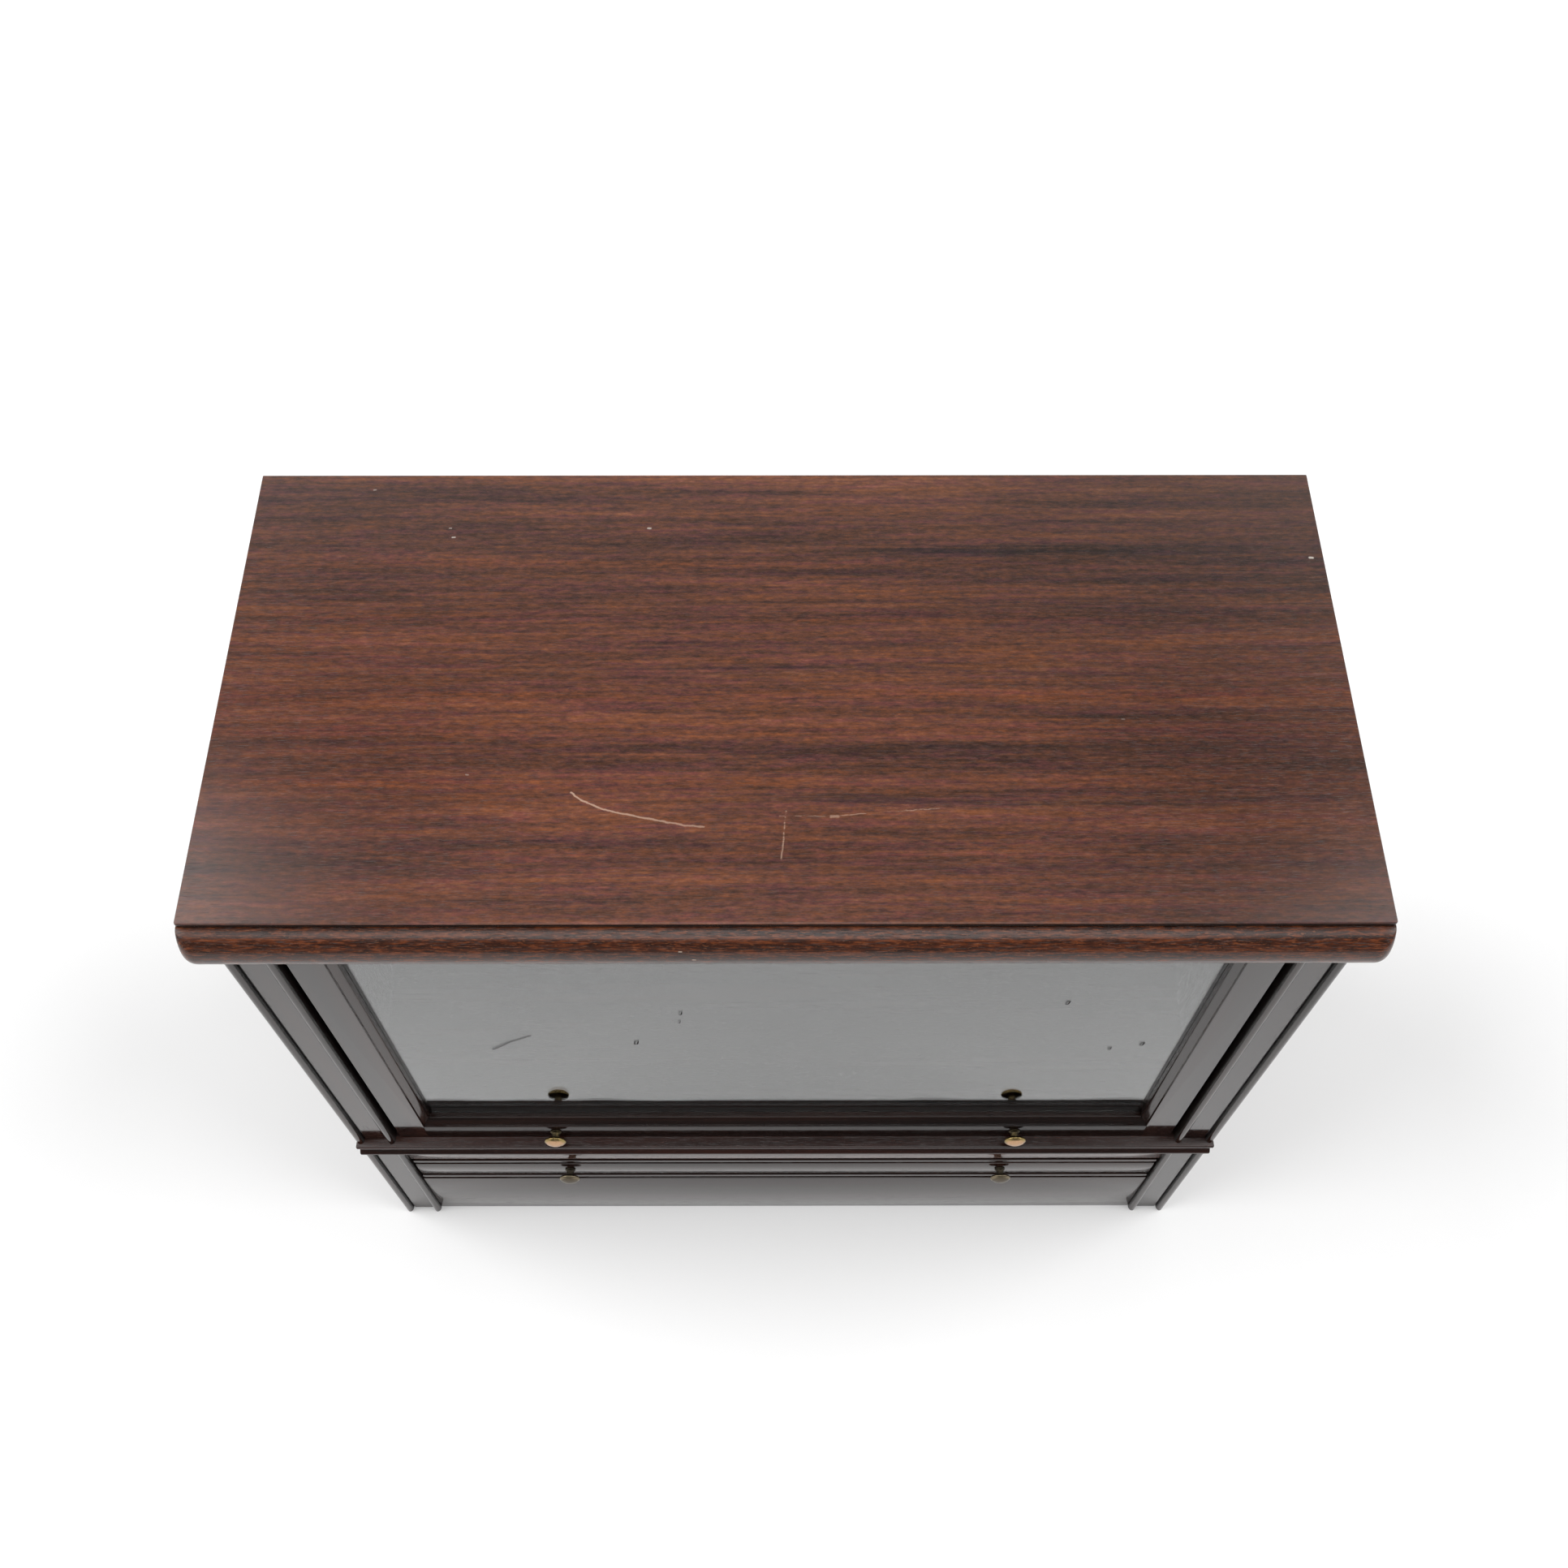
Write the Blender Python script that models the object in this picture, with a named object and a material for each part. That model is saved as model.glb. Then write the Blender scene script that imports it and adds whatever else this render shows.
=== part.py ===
"""Glazed sideboard: a bookcase section with one lift-up, slide-back glass door, on a base with one
slim drawer. Units in the constants are millimetres.

X runs left to right, Y from the front to the back, Z up from the floor. In the constants Y is counted
from the front edge of the top panel; put() moves it so that the origin is under the middle of the whole.
"""
import math

import bmesh
import bpy
from mathutils import Vector

# ---- driving dimensions, mm ------------------------------------------------------------------
HEIGHT = 769.0          # floor to the top surface
TOP_HALF = 450.0        # half the top's width
TOP_DEPTH = 424.6       # front edge of the top panel to its back edge
TOP_EDGE = 5.1          # thickness of the top panel
NOSING_R = 19.15        # half-round nosing under the top's front edge
NOSING_Z = 744.45       # its centre height
NOSING_BACK = 16.0      # its flat back
NOSING_HALF = 450.0
NOSING_END_R = 12.0     # its ends are rounded in plan
GAP = 0.3               # clearance between fitted pieces

BODY_HALF = 431.3       # half the body's width
BODY_TOP = 725.0
BODY_BACK = 417.0
SIDE_T = 18.0

POST_IN = 392.0         # inner side of the front posts
POST_FLAT_Y = -0.7
POST_BACK_Y = 31.5
BEAD_OUT = 5.2          # how far the posts' beads stand out from their flat
OUTER_BEAD = (423.4, BODY_HALF)
INNER_BEAD = (POST_IN, 399.9)
QUIRK_W = 1.1           # groove beside the outer bead

LEDGE_TOP = 254.0       # top of the base, and the floor of the compartment
LEDGE_BOTTOM = 231.5
LEDGE_FRONT = -10.1
LEDGE_END_R = 1.4
# front edge of the ledge, top to bottom: a small rounded nose, a hollow, and a thin rounded fillet, as (Y, Z)
LEDGE_EDGE = [(-8.6, 254.0), (-9.4, 253.7), (-10.0, 252.9), (-10.1, 251.7), (-9.7, 250.3), (-8.3, 249.2),
              (-6.6, 248.3), (-5.2, 246.4), (-4.7, 243.4), (-4.7, 240.4), (-5.4, 237.9), (-6.9, 236.1),
              (-8.6, 234.9), (-9.7, 234.2), (-10.1, 233.3), (-10.1, 232.2), (-9.5, 231.5)]

FACE_Y = 0.56           # front plane of drawer and rail
DOOR_Y = 1.4            # front plane of the door
PLINTH_Y = -0.2
DOOR_T = 20.0
DOOR_HALF = 386.9
DOOR_BOTTOM = 256.0
DOOR_TOP = 718.3
STILE_FLAT = 28.4       # flat of the stile, outer edge to moulding
RAIL_FLAT_LOW = 30.2
RAIL_FLAT_TOP = 25.0
# inner edge moulding of the door frame: (distance inwards, depth behind the face)
STICKING = [(0.0, 0.0), (0.3, 0.3), (0.5, 2.6), (1.9, 3.6), (3.7, 5.2), (5.0, 6.8), (5.7, 8.3), (5.9, 9.3),
            (5.9, 13.2)]
REBATE = 0.6            # where the glass rebate's wall stands, inwards from the flat's edge
GLASS_T = 3.0

PIVOT_Y = 12.0
PIVOT_Z = 711.3
PIN_R = 2.5
BLOCK_Z = (703.5, 722.0)
BLOCK_Y = (4.6, 50.0)
BLOCK_X = (390.0, 401.7)
ROD_R = 4.0
ROD_Y = 34.5

DRAWER_Z = (114.0, 181.0)
DRAWER_FACE_Z = (129.9, 163.2)
DRAWER_BEAD_Z = {"top": (169.9, 175.8), "bottom": (117.3, 123.4)}
DRAWER_HALF = 390.0
DRAWER_BACK = 318.0
PLINTH_Z = (0.5, 113.3)
FRIEZE_Z = 181.8

KNOB_X = 228.7
DOOR_KNOB_Z = 272.7
DRAWER_KNOB_Z = 145.0
# knob outline: (distance out from the face, radius)
KNOB = [(0.3, 5.5), (1.5, 5.5), (2.2, 4.6), (3.2, 3.9), (7.2, 3.9), (7.9, 5.4), (8.3, 9.0), (9.2, 10.4),
        (10.4, 10.75), (11.6, 10.3), (13.2, 8.4), (14.5, 5.4), (15.2, 2.6), (15.45, 0.0)]

MID_Y = (TOP_DEPTH - NOSING_R) / 2.0


def put(x, y, z):
    """A point of the drawing, in metres, with the origin under the middle of the whole."""
    return Vector((x, y - MID_Y, z)) / 1000.0


# ---- materials ---------------------------------------------------------------------------------
def material(name, colour, roughness, metallic=0.0, transmission=0.0):
    mat = bpy.data.materials.new(name)
    mat.use_nodes = True
    shader = mat.node_tree.nodes["Principled BSDF"]
    shader.inputs["Base Color"].default_value = (*colour, 1.0)
    shader.inputs["Roughness"].default_value = roughness
    shader.inputs["Metallic"].default_value = metallic
    shader.inputs["Transmission Weight"].default_value = transmission
    return mat


def clear_scene():
    for obj in list(bpy.data.objects):
        bpy.data.objects.remove(obj, do_unlink=True)


# ---- making and placing ------------------------------------------------------------------------
def add_object(name, bm, mat, origin=None, parent=None, smooth=None):
    """Turns a bmesh in drawing metres into an object whose origin is at `origin`."""
    bmesh.ops.recalc_face_normals(bm, faces=bm.faces)
    if origin is None:
        low = [min(v.co[i] for v in bm.verts) for i in range(3)]
        high = [max(v.co[i] for v in bm.verts) for i in range(3)]
        origin = Vector([(a + b) / 2.0 for a, b in zip(low, high)])
    bmesh.ops.translate(bm, verts=bm.verts, vec=-origin)
    mesh = bpy.data.meshes.new(name)
    bm.to_mesh(mesh)
    bm.free()
    obj = bpy.data.objects.new(name, mesh)
    obj.data.materials.append(mat)
    bpy.context.scene.collection.objects.link(obj)
    if parent is None:
        obj.location = origin
    else:
        obj.parent = parent
        obj.location = origin - parent.location
    if smooth:
        mesh.shade_smooth()
        mesh.set_sharp_from_angle(angle=math.radians(smooth))
    return obj


def empty(name, at):
    obj = bpy.data.objects.new(name, None)
    obj.location = at
    bpy.context.scene.collection.objects.link(obj)
    return obj


def ease(obj, width, segments=1):
    """Takes the sharp arrises off a board."""
    mod = obj.modifiers.new("eased_arrises", 'BEVEL')
    mod.width = width / 1000.0
    mod.segments = segments
    mod.limit_method = 'ANGLE'
    mod.angle_limit = math.radians(40.0)
    return obj


def box_bmesh(x, y, z):
    bm = bmesh.new()
    bmesh.ops.create_cube(bm, size=1.0)
    low, high = put(x[0], y[0], z[0]), put(x[1], y[1], z[1])
    for v in bm.verts:
        v.co = Vector([low[i] + (v.co[i] + 0.5) * (high[i] - low[i]) for i in range(3)])
    return bm


def board(name, x, y, z, mat, arris=0.6, parent=None, segments=1):
    obj = add_object(name, box_bmesh(sorted(x), y, z), mat, parent=parent)
    if arris:
        ease(obj, arris, segments)
    return obj


def cut(obj, cutter_bm, operation='DIFFERENCE'):
    """Cuts an object with a closed bmesh, given in drawing metres, and keeps the result as its mesh."""
    bmesh.ops.recalc_face_normals(cutter_bm, faces=cutter_bm.faces)
    mesh = bpy.data.meshes.new("cutter")
    cutter_bm.to_mesh(mesh)
    cutter_bm.free()
    cutter = bpy.data.objects.new("cutter", mesh)
    cutter.hide_render = True
    cutter.display_type = 'WIRE'
    bpy.context.scene.collection.objects.link(cutter)
    mod = obj.modifiers.new("cut", 'BOOLEAN')
    mod.operation = operation
    mod.solver = 'EXACT'
    mod.object = cutter
    bpy.context.view_layer.update()
    graph = bpy.context.evaluated_depsgraph_get()
    result = bpy.data.meshes.new_from_object(obj.evaluated_get(graph))
    obj.modifiers.clear()
    obj.data = result
    bpy.data.objects.remove(cutter, do_unlink=True)


def prism(points, a, b, place):
    """Extrudes a closed outline of (p, q) points from a to b; place(p, q, t) gives the point."""
    bm = bmesh.new()
    first = [bm.verts.new(place(p, q, a)) for p, q in points]
    last = [bm.verts.new(place(p, q, b)) for p, q in points]
    bm.faces.new(first)
    bm.faces.new(list(reversed(last)))
    n = len(points)
    for i in range(n):
        j = (i + 1) % n
        bm.faces.new((first[j], first[i], last[i], last[j]))
    return bm


def rod_bmesh(x0, x1, y, z, radius, sides=16):
    ring = [(radius * math.cos(2 * math.pi * k / sides), radius * math.sin(2 * math.pi * k / sides))
            for k in range(sides)]
    return prism(ring, x0, x1, lambda p, q, t: put(t, y + p, z + q))


def hole_along_y(x, z, y0, y1, radius, sides=16):
    ring = [(radius * math.cos(2 * math.pi * k / sides), radius * math.sin(2 * math.pi * k / sides))
            for k in range(sides)]
    return prism(ring, y0, y1, lambda p, q, t: put(x + p, t, z + q))


def turned(outline, steps, place):
    """A solid of revolution. outline: (along, radius) from one end to the other; an end of radius 0 is a
    point, any other is closed with a flat face. place(along, u, v) gives the point."""
    bm = bmesh.new()
    rings = []
    for along, radius in outline:
        if radius < 1e-6:
            rings.append([bm.verts.new(place(along, 0.0, 0.0))])
        else:
            rings.append([bm.verts.new(place(along, radius * math.cos(2 * math.pi * k / steps),
                                             radius * math.sin(2 * math.pi * k / steps)))
                          for k in range(steps)])
    for ring, nxt in zip(rings, rings[1:]):
        for k in range(steps):
            m = (k + 1) % steps
            if len(ring) == 1:
                bm.faces.new((ring[0], nxt[k], nxt[m]))
            elif len(nxt) == 1:
                bm.faces.new((ring[k], ring[m], nxt[0]))
            else:
                bm.faces.new((ring[k], ring[m], nxt[m], nxt[k]))
    if len(rings[0]) > 1:
        bm.faces.new(rings[0])
    if len(rings[-1]) > 1:
        bm.faces.new(rings[-1])
    return bm


# ---- shaped pieces -----------------------------------------------------------------------------
def post_outline(steps=8):
    """Plan of one post as (distance from the middle, Y): a flat between two half-round beads, with a groove
    beside the outer one."""
    def half_round(low, high):
        mid, half = (low + high) / 2.0, (high - low) / 2.0
        return [(mid + half * math.cos(math.pi * k / steps), POST_FLAT_Y - BEAD_OUT * math.sin(math.pi * k / steps))
                for k in range(steps + 1)]
    groove = [(OUTER_BEAD[0], POST_FLAT_Y + 1.4), (OUTER_BEAD[0] - QUIRK_W, POST_FLAT_Y + 1.4),
              (OUTER_BEAD[0] - QUIRK_W, POST_FLAT_Y)]
    return ([(BODY_HALF, POST_BACK_Y)] + half_round(*OUTER_BEAD) + groove + half_round(*INNER_BEAD)
            + [(POST_IN, POST_BACK_Y)])


def post(name, side, z0, z1, mat, notch=False):
    bm = prism(post_outline(), z0, z1, lambda p, q, t: put(side * p, q, t))
    obj = add_object(name, bm, mat, smooth=35)
    if notch:
        # slot in the inner side of the post, through which the door's slide block passes
        x = sorted((side * (POST_IN - 4.0), side * (BLOCK_X[1] + 0.6)))
        cut(obj, box_bmesh(x, (BLOCK_Y[0] - 0.4, POST_BACK_Y + 5.0), (BLOCK_Z[0] - 0.35, BODY_TOP + 3.0)))
        obj.data.shade_smooth()
        obj.data.set_sharp_from_angle(angle=math.radians(35))
    return obj


def rounded_plan(half, front, back, radius, steps=5):
    """Plan outline, as (X, Y), of a board whose two front corners are rounded."""
    pts = [(-half, back), (half, back)]
    for sign, order in ((1, range(steps + 1)), (-1, range(steps, -1, -1))):
        for k in order:
            a = math.pi / 2.0 * k / steps
            pts.append((sign * (half - radius + radius * math.cos(a)), front + radius - radius * math.sin(a)))
    return pts


def nosing(name, mat):
    """Half-round moulding with a flat back. Towards its ends the half-round draws back along a quarter circle in
    plan, so that the ends are rounded."""
    steps, corner = 20, 6
    ends = []
    for k in range(corner + 1):
        a = math.pi / 2.0 * k / corner
        ends.append((NOSING_HALF - NOSING_END_R * (1.0 - math.sin(a)),
                     1.0 - NOSING_END_R * (1.0 - math.cos(a)) / NOSING_R))
    bm = bmesh.new()
    loops = []
    for x, bulge in [(-x, bulge) for x, bulge in reversed(ends)] + ends:
        loop = [bm.verts.new(put(x, -NOSING_R * bulge * math.sin(math.pi * k / steps),
                                 NOSING_Z + NOSING_R * math.cos(math.pi * k / steps))) for k in range(steps + 1)]
        loop += [bm.verts.new(put(x, NOSING_BACK, NOSING_Z - NOSING_R)),
                 bm.verts.new(put(x, NOSING_BACK, NOSING_Z + NOSING_R))]
        loops.append(loop)
    n = len(loops[0])
    for one, two in zip(loops, loops[1:]):
        for i in range(n):
            j = (i + 1) % n
            bm.faces.new((one[i], one[j], two[j], two[i]))
    bm.faces.new(loops[0])
    bm.faces.new(list(reversed(loops[-1])))
    return add_object(name, bm, mat, smooth=40)


def frame_member(name, flat, ends_flat, ends_split, place, mat, parent):
    """One member of the door frame: flat on the outside, a moulded and rebated inner edge with mitred ends.
    place(w, y, t): w inwards from the outer edge, y behind the face, t along the member.
    ends_flat: the ends of the flat. ends_split: where the moulding's mitres start, at the flat's inner edge."""
    front = [(flat + w, d) for w, d in STICKING]
    inner = front + [(flat + REBATE, STICKING[-1][1]), (flat + REBATE, DOOR_T), (flat, DOOR_T)]
    bm = bmesh.new()
    caps = []
    for end in range(2):
        sign = 1.0 if end == 0 else -1.0
        base, split = ends_flat[end], ends_split[end]
        ring = [bm.verts.new(place(w, d, split + sign * (w - flat))) for w, d in inner]
        same = abs(base - split) < 1e-6
        corner_front = ring[0] if same else bm.verts.new(place(flat, 0.0, base))
        corner_back = ring[-1] if same else bm.verts.new(place(flat, DOOR_T, base))
        outer_front = bm.verts.new(place(0.0, 0.0, base))
        outer_back = bm.verts.new(place(0.0, DOOR_T, base))
        bm.faces.new(ring)
        bm.faces.new((outer_front, corner_front, corner_back, outer_back))
        if not same:
            bm.faces.new((corner_front, ring[0], ring[-1], corner_back))
        caps.append((ring, corner_front, corner_back, outer_front, outer_back, same))
    (ra, cfa, cba, ofa, oba, sa), (rb, cfb, cbb, ofb, obb, sb) = caps
    for k in range(len(ra) - 1):
        bm.faces.new((ra[k], ra[k + 1], rb[k + 1], rb[k]))
    if sa:
        bm.faces.new((ofa, ra[0], rb[0], ofb))
        bm.faces.new((oba, obb, rb[-1], ra[-1]))
    else:
        bm.faces.new((ofa, cfa, ra[0], rb[0], cfb, ofb))
        bm.faces.new((oba, obb, cbb, rb[-1], ra[-1], cba))
    bm.faces.new((ofa, ofb, obb, oba))
    return add_object(name, bm, mat, parent=parent)


def knob(name, x, face, z, mat, parent, steps=20):
    bm = turned(KNOB, steps, lambda along, u, v: put(x + u, face - along, z + v))
    obj = add_object(name, bm, mat, parent=parent, smooth=40)
    # the bore that its screw turns into
    cut(obj, hole_along_y(x, z, face - 9.0, face + 4.0, 2.3, 12))
    obj.data.shade_smooth()
    obj.data.set_sharp_from_angle(angle=math.radians(40))
    return obj


def knob_screw(name, x, face, z, back_y, mat, parent):
    """A screw: a round head behind the board and a shank into the knob."""
    outline = [(back_y + 3.0, 0.0), (back_y + 2.6, 2.6), (back_y + 1.7, 4.2), (back_y + 0.3, 4.6),
               (back_y + 0.3, 2.0), (face - 8.6, 2.0), (face - 8.8, 0.0)]
    bm = turned(outline, 12, lambda along, u, v: put(x + u, along, z + v))
    return add_object(name, bm, mat, parent=parent, smooth=40)


# ---- build -------------------------------------------------------------------------------------
def main():
    clear_scene()
    mahogany = material("varnished_mahogany", (0.13, 0.045, 0.03), 0.3)
    top_wood = material("mahogany_top", (0.16, 0.058, 0.036), 0.35)
    inside_wood = material("inside_wood", (0.35, 0.22, 0.13), 0.6)
    pine = material("back_wood", (0.45, 0.3, 0.18), 0.7)
    brass = material("aged_brass", (0.55, 0.40, 0.20), 0.35, metallic=1.0)
    steel = material("plain_steel", (0.55, 0.55, 0.54), 0.35, metallic=1.0)
    glass = material("pane", (0.9, 0.95, 0.93), 0.03, transmission=1.0)

    # --- top
    plan = rounded_plan(TOP_HALF, 0.0, TOP_DEPTH, 2.4, 3)
    ease(add_object("top_panel", prism(plan, HEIGHT - TOP_EDGE, HEIGHT, lambda p, q, t: put(p, q, t)), top_wood),
         0.9, 2)
    under = (NOSING_Z - NOSING_R, NOSING_Z + NOSING_R)
    nosing("top_nosing", mahogany)
    board("top_core", (-BODY_HALF + GAP, BODY_HALF - GAP), (NOSING_BACK + GAP, BODY_BACK), under, mahogany)
    for tag, s in (("left", -1), ("right", 1)):
        board("top_lipping_" + tag, (s * BODY_HALF, s * (TOP_HALF - 0.7)), (NOSING_BACK + GAP, TOP_DEPTH - 0.7),
              under, mahogany, 0.8)

    # --- upper section
    low = LEDGE_TOP + GAP
    inner = BODY_HALF - SIDE_T - GAP
    side_y = (POST_BACK_Y + GAP, BODY_BACK)
    for tag, s in (("left", -1), ("right", 1)):
        post("upper_post_" + tag, s, low, BODY_TOP, mahogany, notch=True)
        board("upper_side_" + tag, (s * (BODY_HALF - SIDE_T), s * BODY_HALF), side_y, (low, BODY_TOP), mahogany)
        board("door_runner_" + tag, (s * (POST_IN + 0.3), s * inner), (POST_BACK_Y + 0.5, 403.7),
              (691.6, BLOCK_Z[0] - 0.4), inside_wood)
    third = 2.0 * inner / 3.0
    for k, tag in enumerate(("left", "centre", "right")):
        x0 = -inner + k * third
        board("upper_back_" + tag, (x0 + (GAP / 2 if k else 0.0), x0 + third - (GAP / 2 if k < 2 else 0.0)),
              (404.0, 414.0), (low, BODY_TOP), pine, 1.2)

    # --- base
    outline = LEDGE_EDGE + [(BODY_BACK, LEDGE_BOTTOM), (BODY_BACK, LEDGE_TOP)]
    ledge = add_object("base_top_board", prism(outline, -BODY_HALF - 5.0, BODY_HALF + 5.0,
                                               lambda p, q, t: put(t, p, q)), mahogany)
    plan = rounded_plan(BODY_HALF, LEDGE_FRONT - 0.02, BODY_BACK + 5.0, LEDGE_END_R, 4)
    cut(ledge, prism(plan, LEDGE_BOTTOM - 5.0, LEDGE_TOP + 5.0, lambda p, q, t: put(p, q, t)), 'INTERSECT')
    ledge.data.shade_smooth()
    ledge.data.set_sharp_from_angle(angle=math.radians(40))
    low_top = LEDGE_BOTTOM - GAP
    for tag, s in (("left", -1), ("right", 1)):
        post("lower_post_" + tag, s, 0.0, low_top, mahogany)
        board("lower_side_" + tag, (s * (BODY_HALF - SIDE_T), s * BODY_HALF), side_y, (0.0, low_top), mahogany)
        board("drawer_runner_" + tag, (s * 366.0, s * inner), (POST_BACK_Y + 0.5, 403.7), (103.0, 113.0),
              inside_wood)
        board("drawer_kicker_" + tag, (s * 366.0, s * inner), (POST_BACK_Y + 0.5, 403.7), (171.5, 183.0),
              inside_wood)
        board("corner_block_" + tag, (s * 352.0, s * (POST_IN - 0.4)), (20.9, 56.0), (14.0, 96.0), inside_wood, 0.8)
    board("lower_back", (-inner, inner), (404.0, 414.0), (20.0, low_top), pine, 1.2)
    board("frieze_rail", (-POST_IN + GAP, POST_IN - GAP), (FACE_Y, 24.0), (FRIEZE_Z, low_top), mahogany, 0.8)
    board("plinth_front", (-POST_IN + GAP, POST_IN - GAP), (PLINTH_Y, 20.4), PLINTH_Z, mahogany, 0.8)

    # --- door carriage: it slides back on the runners and carries the door's pivots
    carriage = empty("carriage_slide", put(0.0, PIVOT_Y, PIVOT_Z))
    for tag, s in (("left", -1), ("right", 1)):
        block = board("slide_block_" + tag, (s * BLOCK_X[0], s * BLOCK_X[1]), BLOCK_Y, BLOCK_Z, steel, 0.8,
                      parent=carriage)
        cut(block, rod_bmesh(s * (BLOCK_X[0] - 3.0), s * 399.4, PIVOT_Y, PIVOT_Z, PIN_R + 0.3))
        pin = rod_bmesh(s * (DOOR_HALF - 8.0), s * 399.0, PIVOT_Y, PIVOT_Z, PIN_R)
        add_object("pivot_pin_" + tag, pin, steel, parent=carriage, smooth=40)
    rod = rod_bmesh(-BLOCK_X[0] + GAP, BLOCK_X[0] - GAP, ROD_Y, PIVOT_Z + 1.5, ROD_R, 20)
    add_object("tie_rod", rod, steel, parent=carriage, smooth=40)

    # --- door, hung on the pins
    door = empty("door_pivot", put(0.0, PIVOT_Y, PIVOT_Z))
    low_split, top_split = DOOR_BOTTOM + RAIL_FLAT_LOW, DOOR_TOP - RAIL_FLAT_TOP
    for tag, s in (("left", -1), ("right", 1)):
        stile = frame_member("door_stile_" + tag, STILE_FLAT, (DOOR_BOTTOM, DOOR_TOP), (low_split, top_split),
                             lambda w, y, t, s=s: put(s * (DOOR_HALF - w), DOOR_Y + y, t), mahogany, door)
        cut(stile, rod_bmesh(s * (DOOR_HALF - 8.6), s * (DOOR_HALF + 3.0), PIVOT_Y, PIVOT_Z, PIN_R + 0.3))
    rail_end = DOOR_HALF - STILE_FLAT - GAP
    bottom = frame_member("door_rail_bottom", RAIL_FLAT_LOW, (-rail_end, rail_end), (-rail_end, rail_end),
                          lambda w, y, t: put(t, DOOR_Y + y, DOOR_BOTTOM + w), mahogany, door)
    for x in (-KNOB_X, KNOB_X):
        cut(bottom, hole_along_y(x, DOOR_KNOB_Z, DOOR_Y - 3.0, DOOR_Y + DOOR_T + 3.0, 2.5, 12))
    frame_member("door_rail_top", RAIL_FLAT_TOP, (-rail_end, rail_end), (-rail_end, rail_end),
                 lambda w, y, t: put(t, DOOR_Y + y, DOOR_TOP - w), mahogany, door)
    glass_x = DOOR_HALF - STILE_FLAT - REBATE - 0.6
    glass_z = (low_split + REBATE + 0.6, top_split - REBATE - 0.6)
    glass_y = DOOR_Y + STICKING[-1][1] + GAP
    board("door_glass", (-glass_x, glass_x), (glass_y, glass_y + GLASS_T), glass_z, glass, 0.3, parent=door)
    bead_y = (glass_y + GLASS_T + GAP, DOOR_Y + DOOR_T - 0.2)
    bead_w = STICKING[-1][0] - REBATE
    x_out = DOOR_HALF - STILE_FLAT - REBATE - GAP
    z_low, z_high = low_split + REBATE + GAP, top_split - REBATE - GAP
    board("glazing_bead_bottom", (-x_out, x_out), bead_y, (z_low, z_low + bead_w), mahogany, parent=door)
    board("glazing_bead_top", (-x_out, x_out), bead_y, (z_high - bead_w, z_high), mahogany, parent=door)
    for tag, s in (("left", -1), ("right", 1)):
        board("glazing_bead_" + tag, (s * (x_out - bead_w), s * x_out), bead_y,
              (z_low + bead_w + GAP, z_high - bead_w - GAP), mahogany, parent=door)
        knob("door_knob_" + tag, s * KNOB_X, DOOR_Y, DOOR_KNOB_Z, brass, door)
        knob_screw("door_knob_screw_" + tag, s * KNOB_X, DOOR_Y, DOOR_KNOB_Z, DOOR_Y + DOOR_T, steel, door)

    # --- drawer
    drawer = empty("drawer_slide", put(0.0, FACE_Y, DRAWER_KNOB_Z))
    z0, z1 = DRAWER_Z
    f0, f1 = DRAWER_FACE_Z
    back = FACE_Y + DOOR_T
    outline = [(FACE_Y, f0), (FACE_Y, f1), (FACE_Y + 5.4, f1), (FACE_Y + 5.4, z1), (back, z1), (back, z0),
               (FACE_Y + 5.4, z0), (FACE_Y + 5.4, f0)]
    front = add_object("drawer_front", prism(outline, -DRAWER_HALF, DRAWER_HALF, lambda p, q, t: put(t, p, q)),
                       mahogany, parent=drawer)
    for x in (-KNOB_X, KNOB_X):
        cut(front, hole_along_y(x, DRAWER_KNOB_Z, FACE_Y - 3.0, back + 3.0, 2.5, 12))
    for tag, (low, high) in DRAWER_BEAD_Z.items():
        steps, mid, half = 8, (low + high) / 2, (high - low) / 2
        strip = [(FACE_Y + 5.1, high), (FACE_Y + 5.1, low)]
        strip += [(FACE_Y + 0.9 - 1.3 * math.sin(math.pi * k / steps), mid - half * math.cos(math.pi * k / steps))
                  for k in range(steps + 1)]
        add_object("drawer_bead_" + tag, prism(strip, -DRAWER_HALF, DRAWER_HALF, lambda p, q, t: put(t, p, q)),
                   mahogany, parent=drawer, smooth=40)
    side_z = (113.5, 170.0)
    for tag, s in (("left", -1), ("right", 1)):
        board("drawer_side_" + tag, (s * 370.0, s * 382.0), (back + GAP, DRAWER_BACK), side_z, inside_wood,
              parent=drawer)
        knob("drawer_knob_" + tag, s * KNOB_X, FACE_Y, DRAWER_KNOB_Z, brass, drawer)
        knob_screw("drawer_knob_screw_" + tag, s * KNOB_X, FACE_Y, DRAWER_KNOB_Z, back, steel, drawer)
    board("drawer_back", (-369.7, 369.7), (DRAWER_BACK - 12.0, DRAWER_BACK), side_z, inside_wood, parent=drawer)
    board("drawer_bottom", (-369.7, 369.7), (back + GAP, DRAWER_BACK - 12.3), (115.4, 121.4), inside_wood, 0.4,
          parent=drawer)


main()
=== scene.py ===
"""Looks of the glazed sideboard: varnished mahogany, glass, aged brass, in a plain white studio.

X runs left to right, Y from the front to the back, Z up. Lengths in the helpers are millimetres, with Y
counted from the front edge of the top panel, and put() turns them into the model's metres.
"""
import math

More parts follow.
